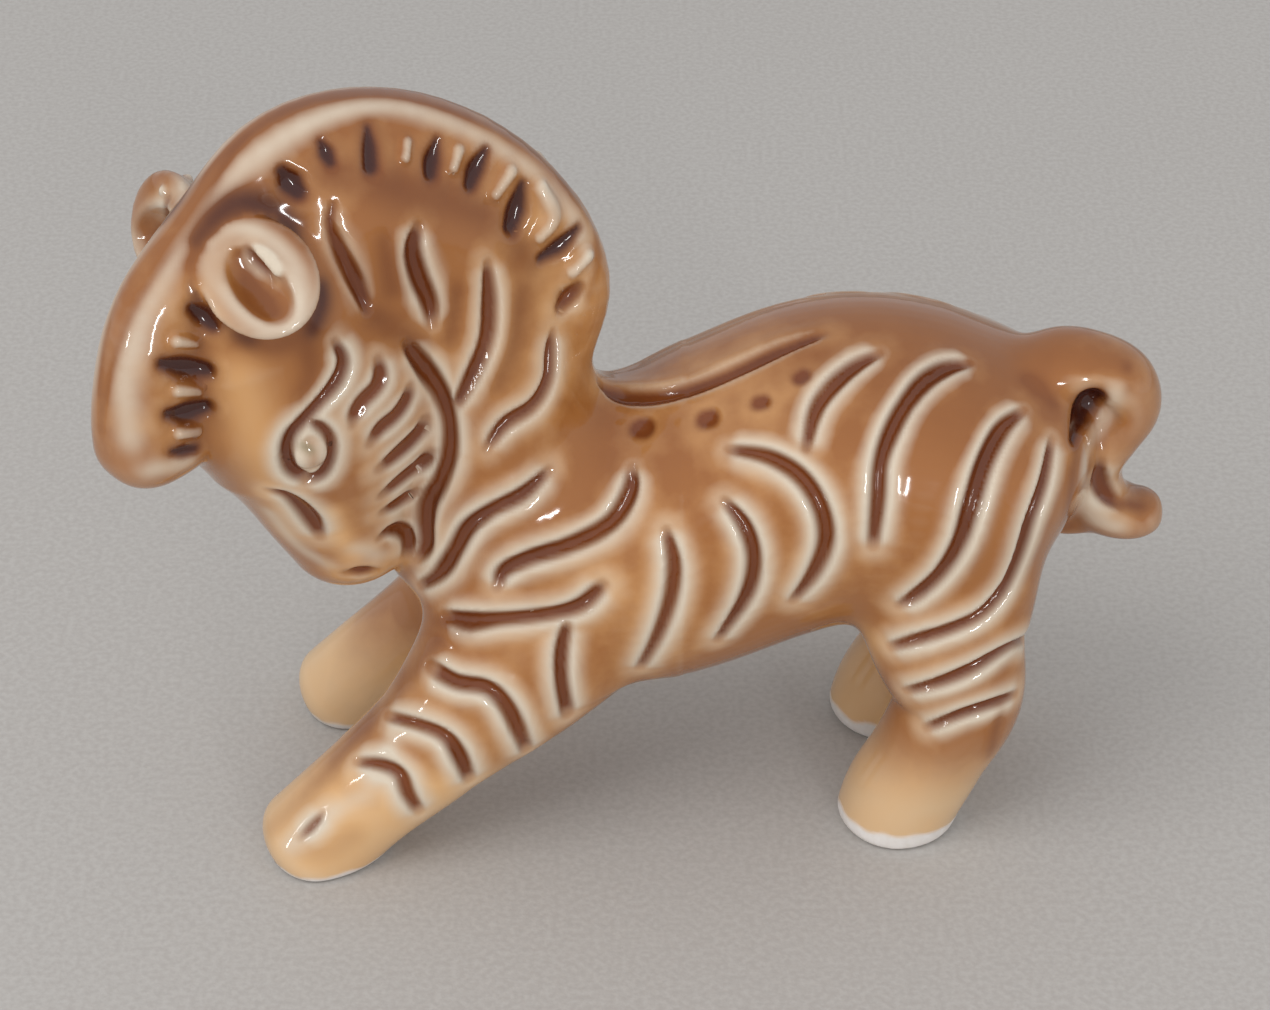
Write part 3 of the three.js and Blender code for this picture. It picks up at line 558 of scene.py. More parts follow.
# Grooves pressed into the clay before glazing, as pixel paths in the photograph's frame.
# A point's third number is the groove's half width there, in pixels. "deep" is in millimetres where
# it is as wide as "half". "halo" is the strength of the pale glaze beside it, and "ends" what is
# left of its depth at its two ends.
grooves = {
    "nape": {"half": 7.5, "deep": 0.6, "halo": 0.2, "ends": 0.7, "paths": [
        [(333, 204, 3), (330, 222, 4), (340, 250, 7), (356, 282, 8), (366, 306, 6)],
        [(578, 287, 6), (569, 297, 9), (561, 307, 7)],
    ]},
    "neck": {"half": 7.5, "deep": 0.8, "halo": 0.6, "paths": [
        [(418, 226, 5), (413, 248, 8), (419, 276, 9), (430, 304, 8), (432, 324, 5)],
        [(488, 264, 5), (490, 300, 8), (487, 340, 8), (470, 380, 7), (455, 408, 4)],
        [(553, 332, 4), (551, 350, 7), (549, 378, 7), (534, 405, 7), (505, 424, 7), (487, 448, 4)],
    ]},
    "jaw": {"half": 8.5, "deep": 0.95, "halo": 0.65, "paths": [
        [(408, 345, 7), (425, 368, 9), (442, 395, 8), (450, 425, 7), (449, 455, 8), (440, 482, 8),
         (428, 503, 9), (425, 525, 9), (425, 547, 8), (417, 560, 4)],
    ]},
    "brow": {"half": 6, "deep": 0.7, "halo": 0.9, "paths": [
        [(335, 342, 4), (344, 360, 6), (338, 380, 7), (322, 400, 6), (304, 420, 6), (290, 436, 6),
         (286, 455, 6), (293, 472, 7), (308, 479, 7)],
        [(306, 480, 7), (321, 476, 6), (331, 459, 5), (332, 441, 5), (323, 428, 5), (309, 421, 4)],
    ]},
    "cheek": {"half": 9, "deep": 0.45, "halo": 0.9, "paths": [
        [(378, 360, 6), (381, 378, 9), (375, 390, 9), (363, 401, 9), (355, 415, 8), (353, 424, 5)],
        [(409, 387, 6), (407, 400, 9), (395, 417, 9), (381, 428, 9), (371, 443, 6)],
        [(424, 420, 7), (419, 433, 10), (401, 451, 10), (381, 468, 7)],
        [(432, 451, 6), (423, 462, 9), (404, 477, 10), (384, 494, 7)],
        [(416, 490, 6), (404, 499, 9), (384, 511, 6)],
    ]},
    "nose": {"half": 8, "deep": 0.7, "halo": 0.8, "paths": [
        [(268, 490, 3), (286, 495, 5), (300, 506, 8), (313, 522, 9), (320, 537, 5)],
    ]},
    "nostril": {"half": 6, "deep": 0.5, "halo": 0.6, "paths": [
        [(380, 538, 4), (390, 530, 7), (403, 529, 8), (410, 541, 7), (406, 556, 5)],
    ]},
    "mouth": {"half": 4, "deep": 0.4, "halo": 0.1, "paths": [
        [(346, 574, 4), (360, 571, 7), (377, 571, 4)],
    ]},
    "chest": {"half": 8, "deep": 0.85, "halo": 0.8, "paths": [
        [(549, 470, 4), (523, 494, 7), (490, 511, 7), (468, 528, 8), (455, 550, 8), (444, 568, 8),
         (434, 578, 6), (420, 586, 4)],
        [(632, 468, 5), (630, 490, 8), (612, 521, 8), (570, 545, 8), (530, 558, 8), (503, 572, 7),
         (497, 588, 4)],
        [(446, 616, 6), (470, 621, 9), (500, 619, 7), (550, 614, 7), (580, 606, 8), (603, 585, 6)],
    ]},
    "foreleg": {"half": 7.5, "deep": 0.8, "paths": [
        [(567, 624, 5), (562, 650, 7), (562, 680, 7), (568, 714, 7)],
        [(432, 668, 8), (456, 682, 8), (488, 688, 8), (505, 704, 8), (518, 728, 8), (527, 750, 6)],
        [(388, 716, 5), (420, 725, 6), (446, 737, 7), (460, 757, 8), (470, 780, 6)],
        [(356, 762, 4), (380, 764, 6), (400, 774, 7), (408, 794, 7), (420, 812, 5)],
        [(300, 838, 3), (314, 824, 4), (324, 812, 2)],
    ]},
    "back": {"half": 9, "deep": 0.85, "halo": 0.2, "paths": [
        [(600, 384, 5), (618, 394, 9), (650, 397, 9), (693, 388, 8), (741, 368, 8), (785, 348, 7),
         (824, 334, 4)],
    ]},
    "flank": {"half": 7.5, "deep": 0.85, "paths": [
        [(880, 353, 4), (858, 364, 7), (834, 384, 8), (816, 409, 7), (806, 449, 4)],
        [(970, 363, 4), (948, 367, 8), (926, 380, 9), (906, 404, 8), (891, 432, 8), (881, 462, 7),
         (878, 500, 7), (873, 546, 5)],
        [(729, 449, 4), (769, 457, 7), (801, 477, 8), (821, 509, 8), (826, 541, 8), (813, 575, 7),
         (793, 601, 4)],
        [(725, 501, 4), (744, 525, 7), (754, 557, 7), (748, 593, 7), (718, 640, 4)],
        [(666, 530, 4), (674, 565, 7), (670, 601, 7), (656, 640, 6), (640, 668, 4)],
        [(1024, 410, 4), (1004, 427, 8), (986, 460, 9), (972, 504, 9), (960, 542, 8), (940, 574, 7),
         (912, 598, 6), (898, 606, 3)],
        [(1052, 440, 4), (1044, 482, 6), (1030, 522, 7), (1018, 560, 7), (1002, 592, 7), (980, 615, 6),
         (950, 629, 6), (915, 640, 6), (890, 647, 4)],
    ]},
    "gaskin": {"half": 6.5, "deep": 0.75, "paths": [
        [(1024, 638, 4), (1000, 652, 6), (970, 670, 7), (935, 684, 6), (906, 691, 4)],
        [(1016, 694, 4), (992, 704, 6), (962, 714, 6), (926, 728, 4)],
    ]},
    "tail": {"half": 9, "deep": 0.7, "halo": 0.4, "paths": [
        [(1100, 462, 5), (1099, 478, 9), (1105, 492, 10), (1120, 504, 6)],
    ]},
    "spots": {"half": 10, "deep": 0.3, "halo": 0.05, "ends": 1, "paths": [
        [(640, 428, 11), (645, 428, 11)], [(705, 419, 10), (710, 418, 10)],
        [(758, 403, 8), (763, 402, 8)], [(800, 378, 8), (803, 376, 8)],
    ]},
    "manePits": {"half": 9, "deep": 0.55, "pit": True, "halo": 0.1, "ends": 1, "paths": [
        [(283, 172, 7), (290, 182, 12), (298, 192, 9)], [(321, 142, 4), (327, 153, 8), (331, 162, 6)],
        [(368, 128, 4), (370, 147, 8), (371, 166, 9)], [(437, 140, 4), (432, 160, 9), (431, 173, 8)],
        [(486, 150, 5), (476, 168, 10), (471, 184, 8)], [(522, 184, 5), (516, 210, 11), (512, 226, 10)],
        [(578, 228, 5), (560, 246, 9), (541, 258, 6)],
        [(193, 309, 7), (203, 317, 10), (212, 326, 8)], [(163, 364, 7), (184, 367, 11), (205, 370, 9)],
        [(168, 414, 6), (186, 413, 11), (204, 408, 9)], [(172, 452, 4), (184, 451, 7), (196, 449, 5)],
    ]},
    # raised, not pressed: the beads between the pits, and the fold in the near ear
    "beads": {"half": 8, "deep": -0.8, "ends": 1, "paths": [
        [(452, 168, 6), (457, 150, 7)], [(494, 194, 7), (509, 172, 8)],
        [(538, 236, 8), (552, 216, 10), (540, 188, 8)], [(572, 270, 8), (586, 256, 8)],
        [(404, 158, 6), (406, 142, 6)], [(196, 342, 6), (176, 340, 7)],
        [(198, 390, 6), (176, 390, 7)], [(196, 431, 6), (178, 432, 7)],
        [(258, 249, 4), (270, 259, 6), (279, 271, 6)],
    ]},
    "earFold": {"half": 5, "deep": 0.45, "paths": [
        [(247, 246, 3), (255, 259, 4), (266, 269, 4), (272, 280, 3)],
    ]},
    "tailPit": {"half": 14, "deep": 0.7, "pit": True, "halo": 0.1, "ends": 1, "paths": [
        [(1092, 396, 14), (1084, 406, 16), (1077, 422, 10), (1073, 440, 6)],
    ]},
}
# These groups follow the body's own middle. The others follow the turned head and neck, as do the
# strokes of colour that start above and to the left of this pixel.
straightGroups = ("foreleg", "back", "flank", "gaskin", "tail", "spots", "chest", "tailPit")
turnedCorner = (640, 600)

# Where the glaze pooled brown or ran thin and pale, and where shade is painted round the near ear, as
# soft strokes of colour with no relief
glazeAndShadeStrokes = {
    "plumPoolAndShade": [
        # the glaze pooled deepest round the near ear and in front of it, and painted shade darkens the
        # hollow between the ear and the head
        [(196, 240, 7), (212, 220, 10), (236, 203, 12), (266, 206, 13), (294, 232, 12), (314, 268, 10),
         (322, 300, 9), (312, 330, 8)],
        [(196, 288, 7), (204, 306, 9), (222, 322, 8), (250, 340, 7)],
        [(562, 296, 8), (574, 290, 8)],
    ],
    "hollow": [
        # inside the near ear
        [(238, 250, 6), (243, 268, 10), (252, 288, 14), (260, 304, 15), (266, 312, 10)],
    ],
    "brown": [
        # behind the near ear, pooled glaze with painted shade in the hollow round it, and beside the
        # brow
        [(192, 262, 10), (205, 232, 16), (232, 205, 20), (262, 206, 20), (292, 234, 20), (312, 268, 18),
         (318, 300, 16), (305, 332, 14), (275, 346, 12), (240, 336, 12)],
        [(306, 345, 14), (312, 368, 12), (300, 398, 9)],
        # between the neck's grooves and over the jaw
        [(372, 316, 14), (400, 332, 15), (424, 342, 10)],
        [(456, 290, 10), (450, 340, 9)], [(522, 290, 12), (512, 350, 11), (498, 386, 8)],
        [(384, 240, 9), (392, 290, 11)],
        # the crest's channel and the neck under it
        [(330, 172, 20), (400, 190, 24), (450, 200, 24), (490, 215, 22), (530, 262, 20)],
        [(196, 330, 14), (196, 372, 16), (194, 415, 16), (192, 448, 14)],
        # the crest's edge
        [(102, 432, 2), (100, 380, 3), (107, 330, 3), (124, 285, 3), (155, 238, 3), (195, 185, 3),
         (236, 143, 2), (282, 110, 2), (330, 97, 3), (385, 95, 3), (440, 107, 4), (490, 126, 4),
         (535, 154, 4), (572, 190, 4), (594, 228, 4), (598, 262, 3), (586, 300, 3)],
        # the foreleg's front
        [(438, 640, 14), (400, 690, 15), (352, 742, 16), (308, 795, 15), (272, 828, 13)],
        [(440, 622, 14), (470, 630, 8)],
        # the tail's root and hair
        [(1028, 380, 8), (1042, 390, 10), (1054, 403, 8)], [(1127, 366, 5), (1127, 370, 5)],
        [(1128, 389, 6), (1125, 393, 6)], [(1122, 502, 8), (1140, 506, 7)],
        [(1080, 430, 7), (1074, 460, 7), (1070, 500, 7), (1066, 528, 7)],
        # the near hoofs
        [(1002, 700, 7), (990, 755, 6)], [(296, 846, 13), (322, 852, 14), (352, 836, 13)],
    ],
    "gold": [
        # the face, the muzzle and the far legs are paler
        [(238, 380, 28), (258, 440, 30), (288, 530, 22)], [(330, 515, 16), (352, 552, 16)],
        [(390, 570, 30), (345, 620, 34), (300, 680, 34)], [(872, 640, 20), (850, 720, 20)],
    ],
    "pupil": [
        [(304, 445, 5), (310, 450, 5)],
    ],
    "cream": [
        # the crest's near rim
        [(130, 440, 12), (124, 385, 13), (138, 330, 12), (160, 285, 10), (190, 236, 10),
         (222, 192, 12), (262, 152, 13), (300, 128, 13), (338, 112, 11), (385, 106, 10), (436, 117, 10),
         (484, 139, 8), (528, 168, 8), (562, 202, 8), (582, 236, 8), (588, 262, 7)],
        [(150, 470, 9), (190, 462, 7)],
        # the near ear's rim
        [(206, 268, 9), (214, 240, 10), (238, 226, 9), (270, 238, 9), (296, 268, 10), (303, 298, 10),
         (290, 324, 9), (262, 328, 8), (236, 310, 8), (216, 286, 8), (206, 268, 9)],
        # the forehead, the nose and the muzzle
        [(270, 512, 8), (298, 546, 8), (330, 566, 7)],
        [(354, 548, 8), (384, 556, 7)],
        # the ridge down the foreleg's front
        [(392, 742, 8), (372, 790, 9), (340, 808, 9), (314, 828, 8), (290, 846, 9)],
        # the tail's inner edge and lip
        [(1120, 392, 9), (1100, 424, 9), (1086, 456, 8), (1084, 490, 9), (1090, 518, 9),
         (1120, 528, 7)],
    ],
}


def tracePath(surface, pixels):
    # drops a pixel path onto the near side of the skin, in one run for each form that it crosses;
    # gives every run's points and half widths in millimetres
    pixels = np.array(pixels, float)
    length = np.linalg.norm(np.diff(pixels[:, :2], axis=0), axis=1).sum()
    steps = max(int(length / relief["pathStep"]), 3)
    runs = [[]]
    for u, v, w in spline(pixels, np.linspace(0, 1, steps)):
        place = surface.tree.ray_cast(*pixelRay(u, v))[0]
        if place is None:
            continue
        if runs[-1] and (place - runs[-1][-1][0]).length > relief["leap"]:
            runs.append([])
        runs[-1].append((place, w / camera["pixelsPerMm"]))
    for run in runs:
        if len(run) > 1:
            path = np.array([list(place) for place, _ in run])
            yield settled(surface, path), np.array([w for _, w in run])


def evenOut(rows, times):
    for _ in range(times):
        rows[1:-1] = (rows[:-2] + 2 * rows[1:-1] + rows[2:]) / 4
    return rows


def settled(surface, path):
    # evens out a path and lays it back on the skin
    return surface.nearest(evenOut(path, 4 if len(path) > 4 else 0))


spine = {"lower": 6, "reach": 7, "above": 40}  # how much lower, and how near and how high that holds


def fade(away, reach):
    # 1 in the middle, falling off softly over the reach
    return np.exp(-((away / reach) ** 2))


def mirrored(surface, path, straight):
    # carries a path over to the far side and back down onto the skin
    other = path * [1, -1, 1] if straight else mirrorOnTurn(path)
    if straight:
        # what runs near the spine lies a little lower on the far side
        nearSpine = fade(other[:, 1], spine["reach"]) * (other[:, 2] > spine["above"])
        other[:, 1] += spine["lower"] * nearSpine
    return surface.nearest(other)


def alongPath(points, path):
    # for each point: the nearest segment, how far along it, and the distance to it
    starts, ways = path[:-1], np.diff(path, axis=0)
    lengths = np.maximum(np.linalg.norm(ways, axis=1), 1e-6)
    offset = points[:, None] - starts[None]
    share = np.clip((offset * ways).sum(2) / lengths**2, 0, 1)
    gaps = np.linalg.norm(offset - share[..., None] * ways, axis=2)
    nearest = gaps.argmin(1)
    rows = np.arange(len(points))
    return nearest, share[rows, nearest], gaps[rows, nearest]


def ease(x):
    x = np.clip(x, 0, 1)
    return x * x * (3 - 2 * x)


def facingAlong(surface, path):
    # the way the skin faces along a path, evened out so that a rough spot doesn't show
    facing = evenOut(surface.nearest(path, 1), 6)
    return facing / np.linalg.norm(facing, axis=1, keepdims=True)


def strokes(surface, pixels, straight, reach, normals):
    # yields, on each side of the body, the points near a path with their distance, the half width
    # there, how well they face the same way, and how far the path's nearer end is
    for near, half in tracePath(surface, pixels):
        for path in (near, mirrored(surface, near, straight)):
            low, high = path.min(0) - reach - half.max(), path.max(0) + reach + half.max()
            who = np.nonzero(((surface.points > low) & (surface.points < high)).all(1))[0]
            if not len(who):
                continue
            nearest, share, away = alongPath(surface.points[who], path)
            wide = half[nearest] * (1 - share) + half[nearest + 1] * share
            alike = (normals[who] * facingAlong(surface, path)[nearest]).sum(1)
            same = ease(alike * relief["alike"])
            lengths = np.linalg.norm(np.diff(path, axis=0), axis=1)
            run = np.concatenate([[0], np.cumsum(lengths)])
            here = run[nearest] + share * lengths[nearest]
            yield who, away, wide, same, np.minimum(here, run[-1] - here)


relief = {
    "lip": 0.22,  # height of the raised lip beside a groove, as a share of its depth
    "lipAway": 0.8, "lipWide": 1.0,  # millimetres from the groove's edge
    "halo": 0.1, "haloFade": 2.5,  # how far the thin pale glaze reaches from a groove, and fades
    "dark": 0.5,  # how far past a groove's edge its brown reaches
    "nearFade": 2.2, "pitFade": 0.8,  # how far the thinner glaze and a pit's brown rim reach
    "pitBrown": 0.8, "beadCream": 0.45,  # how strong a pit's brown and a bead's cream are
    "endFade": 2.2,  # a groove and its colour fade over this length at their ends
    "pathStep": 3,  # pixels between the points of a path
    "leap": 2.5,  # a longer step between two points means that a path crosses to another form
    "alike": 1.6,  # how soon a stroke gives out on skin that faces another way
    "groove": 5, "stroke": 2.5,  # how far from its path a groove and a colour can reach
}
# how many times each layer is blurred; the others once
blurs = {"plumPoolAndShade": 6, "brown": 8, "cream": 12, "near": 6, "hollow": 4, "pale": 3}


def carve(surface):
    normals = surface.normals()
    count = len(surface.points)
    keys = ("dip", "lip", "bead", "dark", "pale", "near", "pit", *glazeAndShadeStrokes)
    layers = {key: np.zeros(count) for key in keys}

    def keepMost(key, who, value):
        layers[key][who] = np.maximum(layers[key][who], value)

    for group, how in grooves.items():
        straight = group in straightGroups
        for pixels in how["paths"]:
            found = strokes(surface, pixels, straight, relief["groove"], normals)
            for who, away, wide, same, end in found:
                full = ease(how.get("ends", 0.45) + end / relief["endFade"])
                deep = how["deep"] * np.clip(wide * camera["pixelsPerMm"] / how["half"], 0, 1.15) * full
                bowl = ease(1.15 - away / np.maximum(wide, 0.05) * 0.85)
                if how["deep"] < 0:
                    keepMost("bead", who, -deep * bowl * same)
                    keepMost("cream", who, relief["beadCream"] * bowl * same)
                    continue
                keepMost("dip", who, deep * bowl * same)
                rise = fade(away - wide - relief["lipAway"], relief["lipWide"])
                keepMost("lip", who, relief["lip"] * rise * deep * same)
                keepMost("dark", who, ease(wide + relief["dark"] - away) * same * full)
                edge = np.maximum(away - wide, 0)
                halo = 1 - ease((edge - relief["halo"]) / relief["haloFade"])
                keepMost("pale", who, how.get("halo", 0.9) * halo * same * full)
                keepMost("near", who, fade(edge, relief["nearFade"]) * same)
                if "pit" in how:
                    keepMost("pit", who, ease((wide + 0.3 - away) / 0.9) * same)
                    keepMost("brown", who, relief["pitBrown"] * fade(edge, relief["pitFade"]) * same)
    for key, lines in glazeAndShadeStrokes.items():
        for pixels in lines:
            straight = pixels[0][0] >= turnedCorner[0] or pixels[0][1] >= turnedCorner[1]
            found = strokes(surface, pixels, straight, relief["stroke"], normals)
            for who, away, wide, same, _ in found:
                keepMost(key, who, fade(away, wide) * same)
    for key in keys:
        layers[key] = surface.blur(layers[key], blurs.get(key, 1))
    push = layers["lip"] * (1 - np.clip(layers["dip"] / 0.35, 0, 1)) - layers["dip"] + layers["bead"]
    surface.points = surface.points + normals * push[:, None]
    return layers


field = buildField()
surface = Skin(*field.surface())
print("skin:", len(surface.points), "points")
surface.smooth(skin["smooth"])
formBend = surface.blur(surface.bend(), 10)
layers = carve(surface)
surface.smooth(skin["smoothCarved"])
edgeBend = surface.blur(surface.bend(), 4)
print("grooves carved")

# The clay model's frame has its origin under the middle of the figure's box: the torso's own box
# says how far the forms are moved for that
ownBox = torsoLoft().mesh()[0]
nodeLow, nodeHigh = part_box("torso")
shift = (np.array(nodeLow) + np.array(nodeHigh)) / 2 / mm - (ownBox.min(0) + ownBox.max(0)) / 2
shift[2] = 0


# Shader maths as plain expressions on sockets
class Value:
    def __init__(self, shader, socket):
        self.shader, self.socket = shader, socket

    def math(self, operation, *others):
        values = dict(enumerate((self,) + others))
        return self.shader.add("ShaderNodeMath", {"operation": operation}, values)

    def __add__(self, other):
        return self.math("ADD", other)

    def __sub__(self, other):
        return self.math("SUBTRACT", other)

    def __rsub__(self, other):
        return self.shader.add("ShaderNodeMath", {"operation": "SUBTRACT"}, {0: other, 1: self})

    def __mul__(self, other):
        return self.math("MULTIPLY", other)

    __radd__, __rmul__ = __add__, __mul__

    def __pow__(self, other):
        return self.math("POWER", other)

    def clip(self):
        return self.math("MAXIMUM", 0.0).math("MINIMUM", 1.0)

    def step(self, low, high):
        # 0 at low and 1 at high, eased
        settings = {"interpolation_type": "SMOOTHSTEP"}
        values = {0: self, 1: low, 2: high, 3: 0.0, 4: 1.0}
        return self.shader.add("ShaderNodeMapRange", settings, values)


class Shader:
    def __init__(self, name):
        self.material = bpy.data.materials.new(name)
        self.material.use_nodes = True
        self.tree = self.material.node_tree
        self.tree.nodes.clear()

    def add(self, kind, settings=None, values=None, output=0):
        node = self.tree.nodes.new(kind)
        for key, value in (settings or {}).items():
            setattr(node, key, value)
        for key, value in (values or {}).items():
            socket = node.inputs[key]
            if isinstance(value, Value):
                self.tree.links.new(value.socket, socket)
            else:
                socket.default_value = value
        return Value(self, node.outputs[output]) if len(node.outputs) else None

    def attribute(self, name):
        return self.add("ShaderNodeAttribute", {"attribute_name": name}, output="Fac")

    def noise(self, scale, detail=2.0, rough=0.5):
        place = self.add("ShaderNodeTexCoord", output="Object")
        return self.add("ShaderNodeTexNoise", {}, {
            "Vector": place, "Scale": scale, "Detail": detail, "Roughness": rough})

    def mix(self, factor, a, b):
        settings = {"data_type": "RGBA", "clamp_factor": True}
        return self.add("ShaderNodeMix", settings, {0: factor, 6: a, 7: b}, output=2)

    def finish(self, surface):
        self.add("ShaderNodeOutputMaterial", {}, {"Surface": surface})
        return self.material


def paint(red, green, blue):
    # a colour read off the photograph, 0 to 255, as the linear values that shaders use
    def linear(v):
        v = v / 255
        return v / 12.92 if v <= 0.04045 else ((v + 0.055) / 1.055) ** 2.4
    return (linear(red), linear(green), linear(blue), 1.0)


glaze = {
    "honey": paint(216, 165, 108), "amber": paint(156, 99, 50), "umber": paint(126, 72, 32),
    "plumPoolAndShade": paint(80, 38, 20), "olive": paint(112, 104, 72),
    "cream": paint(212, 197, 176), "straw": paint(214, 184, 144),
    "groove": paint(126, 66, 26), "grooveDeep": paint(96, 44, 16), "pit": paint(60, 22, 14),
    "clay": paint(226, 222, 219), "clayShade": paint(206, 198, 190),
    "roughness": 0.07, "bareRough": 0.7, "coat": 0.15, "coatRough": 0.03, "index": 1.52,
    "bump": 0.1, "bumpDeep": 0.0004,
}


def ceramic(name):
    shader = Shader(name)
    channel = {key: shader.attribute(key) for key in channels}
    drift, cloud, mottle = shader.noise(24, 2), shader.noise(80, 3, 0.6), shader.noise(300, 3, 0.6)
    uneven = drift * 0.9 + cloud * 0.7 + mottle * 0.25 - 0.92  # about -0.4 to 0.4
    hollow = (channel["form"] * 0.9).clip()
    proud = (channel["edge"] * -0.8).clip()
    # between the grooves the glaze lies thick and brown, and it thins to cream over their edges
    thick = (1.08 + uneven * 1.9 + hollow * 0.5 - channel["near"] * 0.55 - channel["low"] * 0.95).clip()
    brown = channel["brown"] * (0.8 + uneven) * (1 - channel["low"] * 0.55)
    # umber on surfaces facing up: partly the back's browner glaze, partly painted shade
    brown = brown + channel["top"] * (0.5 + uneven) * (1 - channel["cream"]) + hollow * 0.25
    brown = (brown + channel["hollow"] * (0.85 + uneven)).clip()
    thin = channel["pale"] ** (1.1 + uneven) * (0.82 + uneven * 0.5)
    thin = thin + channel["cream"] * (0.66 + uneven) + proud * 0.5
    groove = shader.mix((0.5 + uneven * 1.6).clip(), glaze["groove"], glaze["grooveDeep"])
    groove = shader.mix(channel["pit"], groove, glaze["pit"])
    body = glaze["honey"]
    for cover, colour in [
        (thick - channel["gold"] * 0.7, glaze["amber"]),
        (channel["low"] * (0.55 + uneven), glaze["straw"]),
        (brown, glaze["umber"]),
        # pooled glaze and painted shade round the near ear
        (channel["plumPoolAndShade"] * (0.9 + uneven), glaze["plumPoolAndShade"]),
        (thin - brown * 0.5 - channel["plumPoolAndShade"] * 0.6, glaze["cream"]),
        (channel["pupil"] * 0.7, glaze["olive"]),
        (channel["dark"] * (1.1 + uneven * 0.4), groove),
    ]:
        body = shader.mix(cover.clip(), body, colour)
    grain = shader.noise(900, 2)
    clay = shader.mix(grain, glaze["clay"], glaze["clayShade"])
    colour = shader.mix(channel["bare"], body, clay)
    roughness = (cloud * 0.05 + glaze["roughness"]) + channel["bare"] * glaze["bareRough"]
    bump = shader.add("ShaderNodeBump", {}, {
        "Strength": glaze["bump"], "Distance": glaze["bumpDeep"],
        "Height": shader.noise(160, 1) + channel["bare"] * grain})
    glossy = shader.add("ShaderNodeBsdfPrincipled", {}, {
        "Base Color": colour, "Roughness": roughness, "Normal": bump,
        "Coat Weight": (1 - channel["bare"]) * glaze["coat"], "Coat Roughness": glaze["coatRough"],
        "IOR": glaze["index"]})
    return shader.finish(glossy)


# The bare band at the feet, higher on the hind ones, with an uneven edge
footBand = {"height": 2.2, "foreHeight": 0.9, "ragged": 0.5}


def faceOwners(surface, field):
    centres = surface.points[surface.quads].mean(1)
    owners = field.ownerAt(centres)
    for side in ("left", "right"):
        for leg in ("fore", "hind"):
            legFaces = owners == order[f"{side}_{leg}_leg"]
            owners[legFaces & (centres[:, 2] < footBand["height"])] = order[f"{side}_{leg}_foot"]
    return owners


def islands(quads, count):
    # numbers the connected patches of faces, so that stray patches can be given to a neighbour
    label = np.arange(count)
    while True:
        low = label[quads].min(1)
        new = label.copy()
        for i in range(4):
            np.minimum.at(new, quads[:, i], low)
        new = new[new]
        if (new == label).all():
            return label[quads[:, 0]]
        label = new


def tidyOwners(surface, owners):
    # every piece keeps its largest patch; smaller ones go to the piece that touches them most
    for _ in range(3):
        for owner in range(len(names)):
            mine = np.nonzero(owners == owner)[0]
            if not len(mine):
                continue
            patch = islands(surface.quads[mine], len(surface.points))
            labels, sizes = np.unique(patch, return_counts=True)
            for label in labels[sizes < sizes.max()]:
                stray = mine[patch == label]
                touched = np.isin(surface.quads, np.unique(surface.quads[stray])).any(1)
                around = owners[touched & (owners != owner)]
                if len(around):
                    owners[stray] = np.bincount(around).argmax()
    return owners


def borderLoops(quads):
    # the open edges of a patch, in order round each opening
    edges = np.vstack([quads[:, [i, (i + 1) % 4]] for i in range(4)])
    keys = np.sort(edges, axis=1)
    _, index, counts = np.unique(keys, axis=0, return_index=True, return_counts=True)
    follow = {}
    for a, b in edges[index[counts == 1]]:
        follow.setdefault(int(a), []).append(int(b))
    loops = []
    while follow:
        start = next(iter(follow))
        loop, here = [start], follow[start].pop()
        if not follow[start]:
            del follow[start]
        while here != start and here in follow:
            loop.append(here)
            step = follow[here].pop()
            if not follow[here]:
                del follow[here]
            here = step
        loops.append(loop)
    return loops


def placed(name, data):
    thing = bpy.data.objects.new(name, data)
    bpy.context.collection.objects.link(thing)
    return thing


def makePiece(name, surface, owners, normals, channels, material):
    quads = surface.quads[owners == order[name]]
    used, local = np.unique(quads, return_inverse=True)
    local = local.reshape(-1, 4)
    places = surface.points[used]
    faces = local.tolist()
    values = {key: channel[used] for key, channel in channels.items()}
    # each opening towards a neighbour is closed with a fan of its own points
    extra, fill = [], []
    for loop in borderLoops(quads):
        ring = np.searchsorted(used, loop)
        base = len(used) + len(extra)
        extra.extend(places[ring].tolist())
        extra.append(places[ring].mean(0).tolist())
        fill.extend(ring.tolist() + [int(ring[0])])
        middle = base + len(ring)
        for i in range(len(ring)):
            faces.append([base + (i + 1) % len(ring), base + i, middle])
    if extra:
        places = np.vstack([places, np.array(extra)])
        values = {key: np.concatenate([value, value[fill]]) for key, value in values.items()}
    mesh = bpy.data.meshes.new(name + "_glazed")
    mesh.from_pydata(((places + shift) * mm).tolist(), [], faces)
    mesh.polygons.foreach_set("use_smooth", np.ones(len(faces), bool))
    for key, value in values.items():
        layer = mesh.attributes.new(key, "FLOAT", "POINT")
        layer.data.foreach_set("value", value.astype(np.float32))
    mesh.materials.append(material)
    loops = np.zeros((len(mesh.loops), 3), np.float32)
    loops[: len(quads) * 4] = normals[quads.ravel()]
    mesh.normals_split_custom_set(loops.tolist())
    piece = placed(name + "_glazed", mesh)
    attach(piece, "root")
    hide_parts(name)


# The fade at the bare band's edge, and where the back's browner glaze with painted shade on surfaces
# facing up, and the legs' paler glaze, begin and are full
zones = {"bareFade": 0.5, "topFacing": (0.3, 0.9), "topHeight": (20, 35), "lowHeight": (16, 4)}


def ramp(values, start, end):
    return ease((values - start) / (end - start))


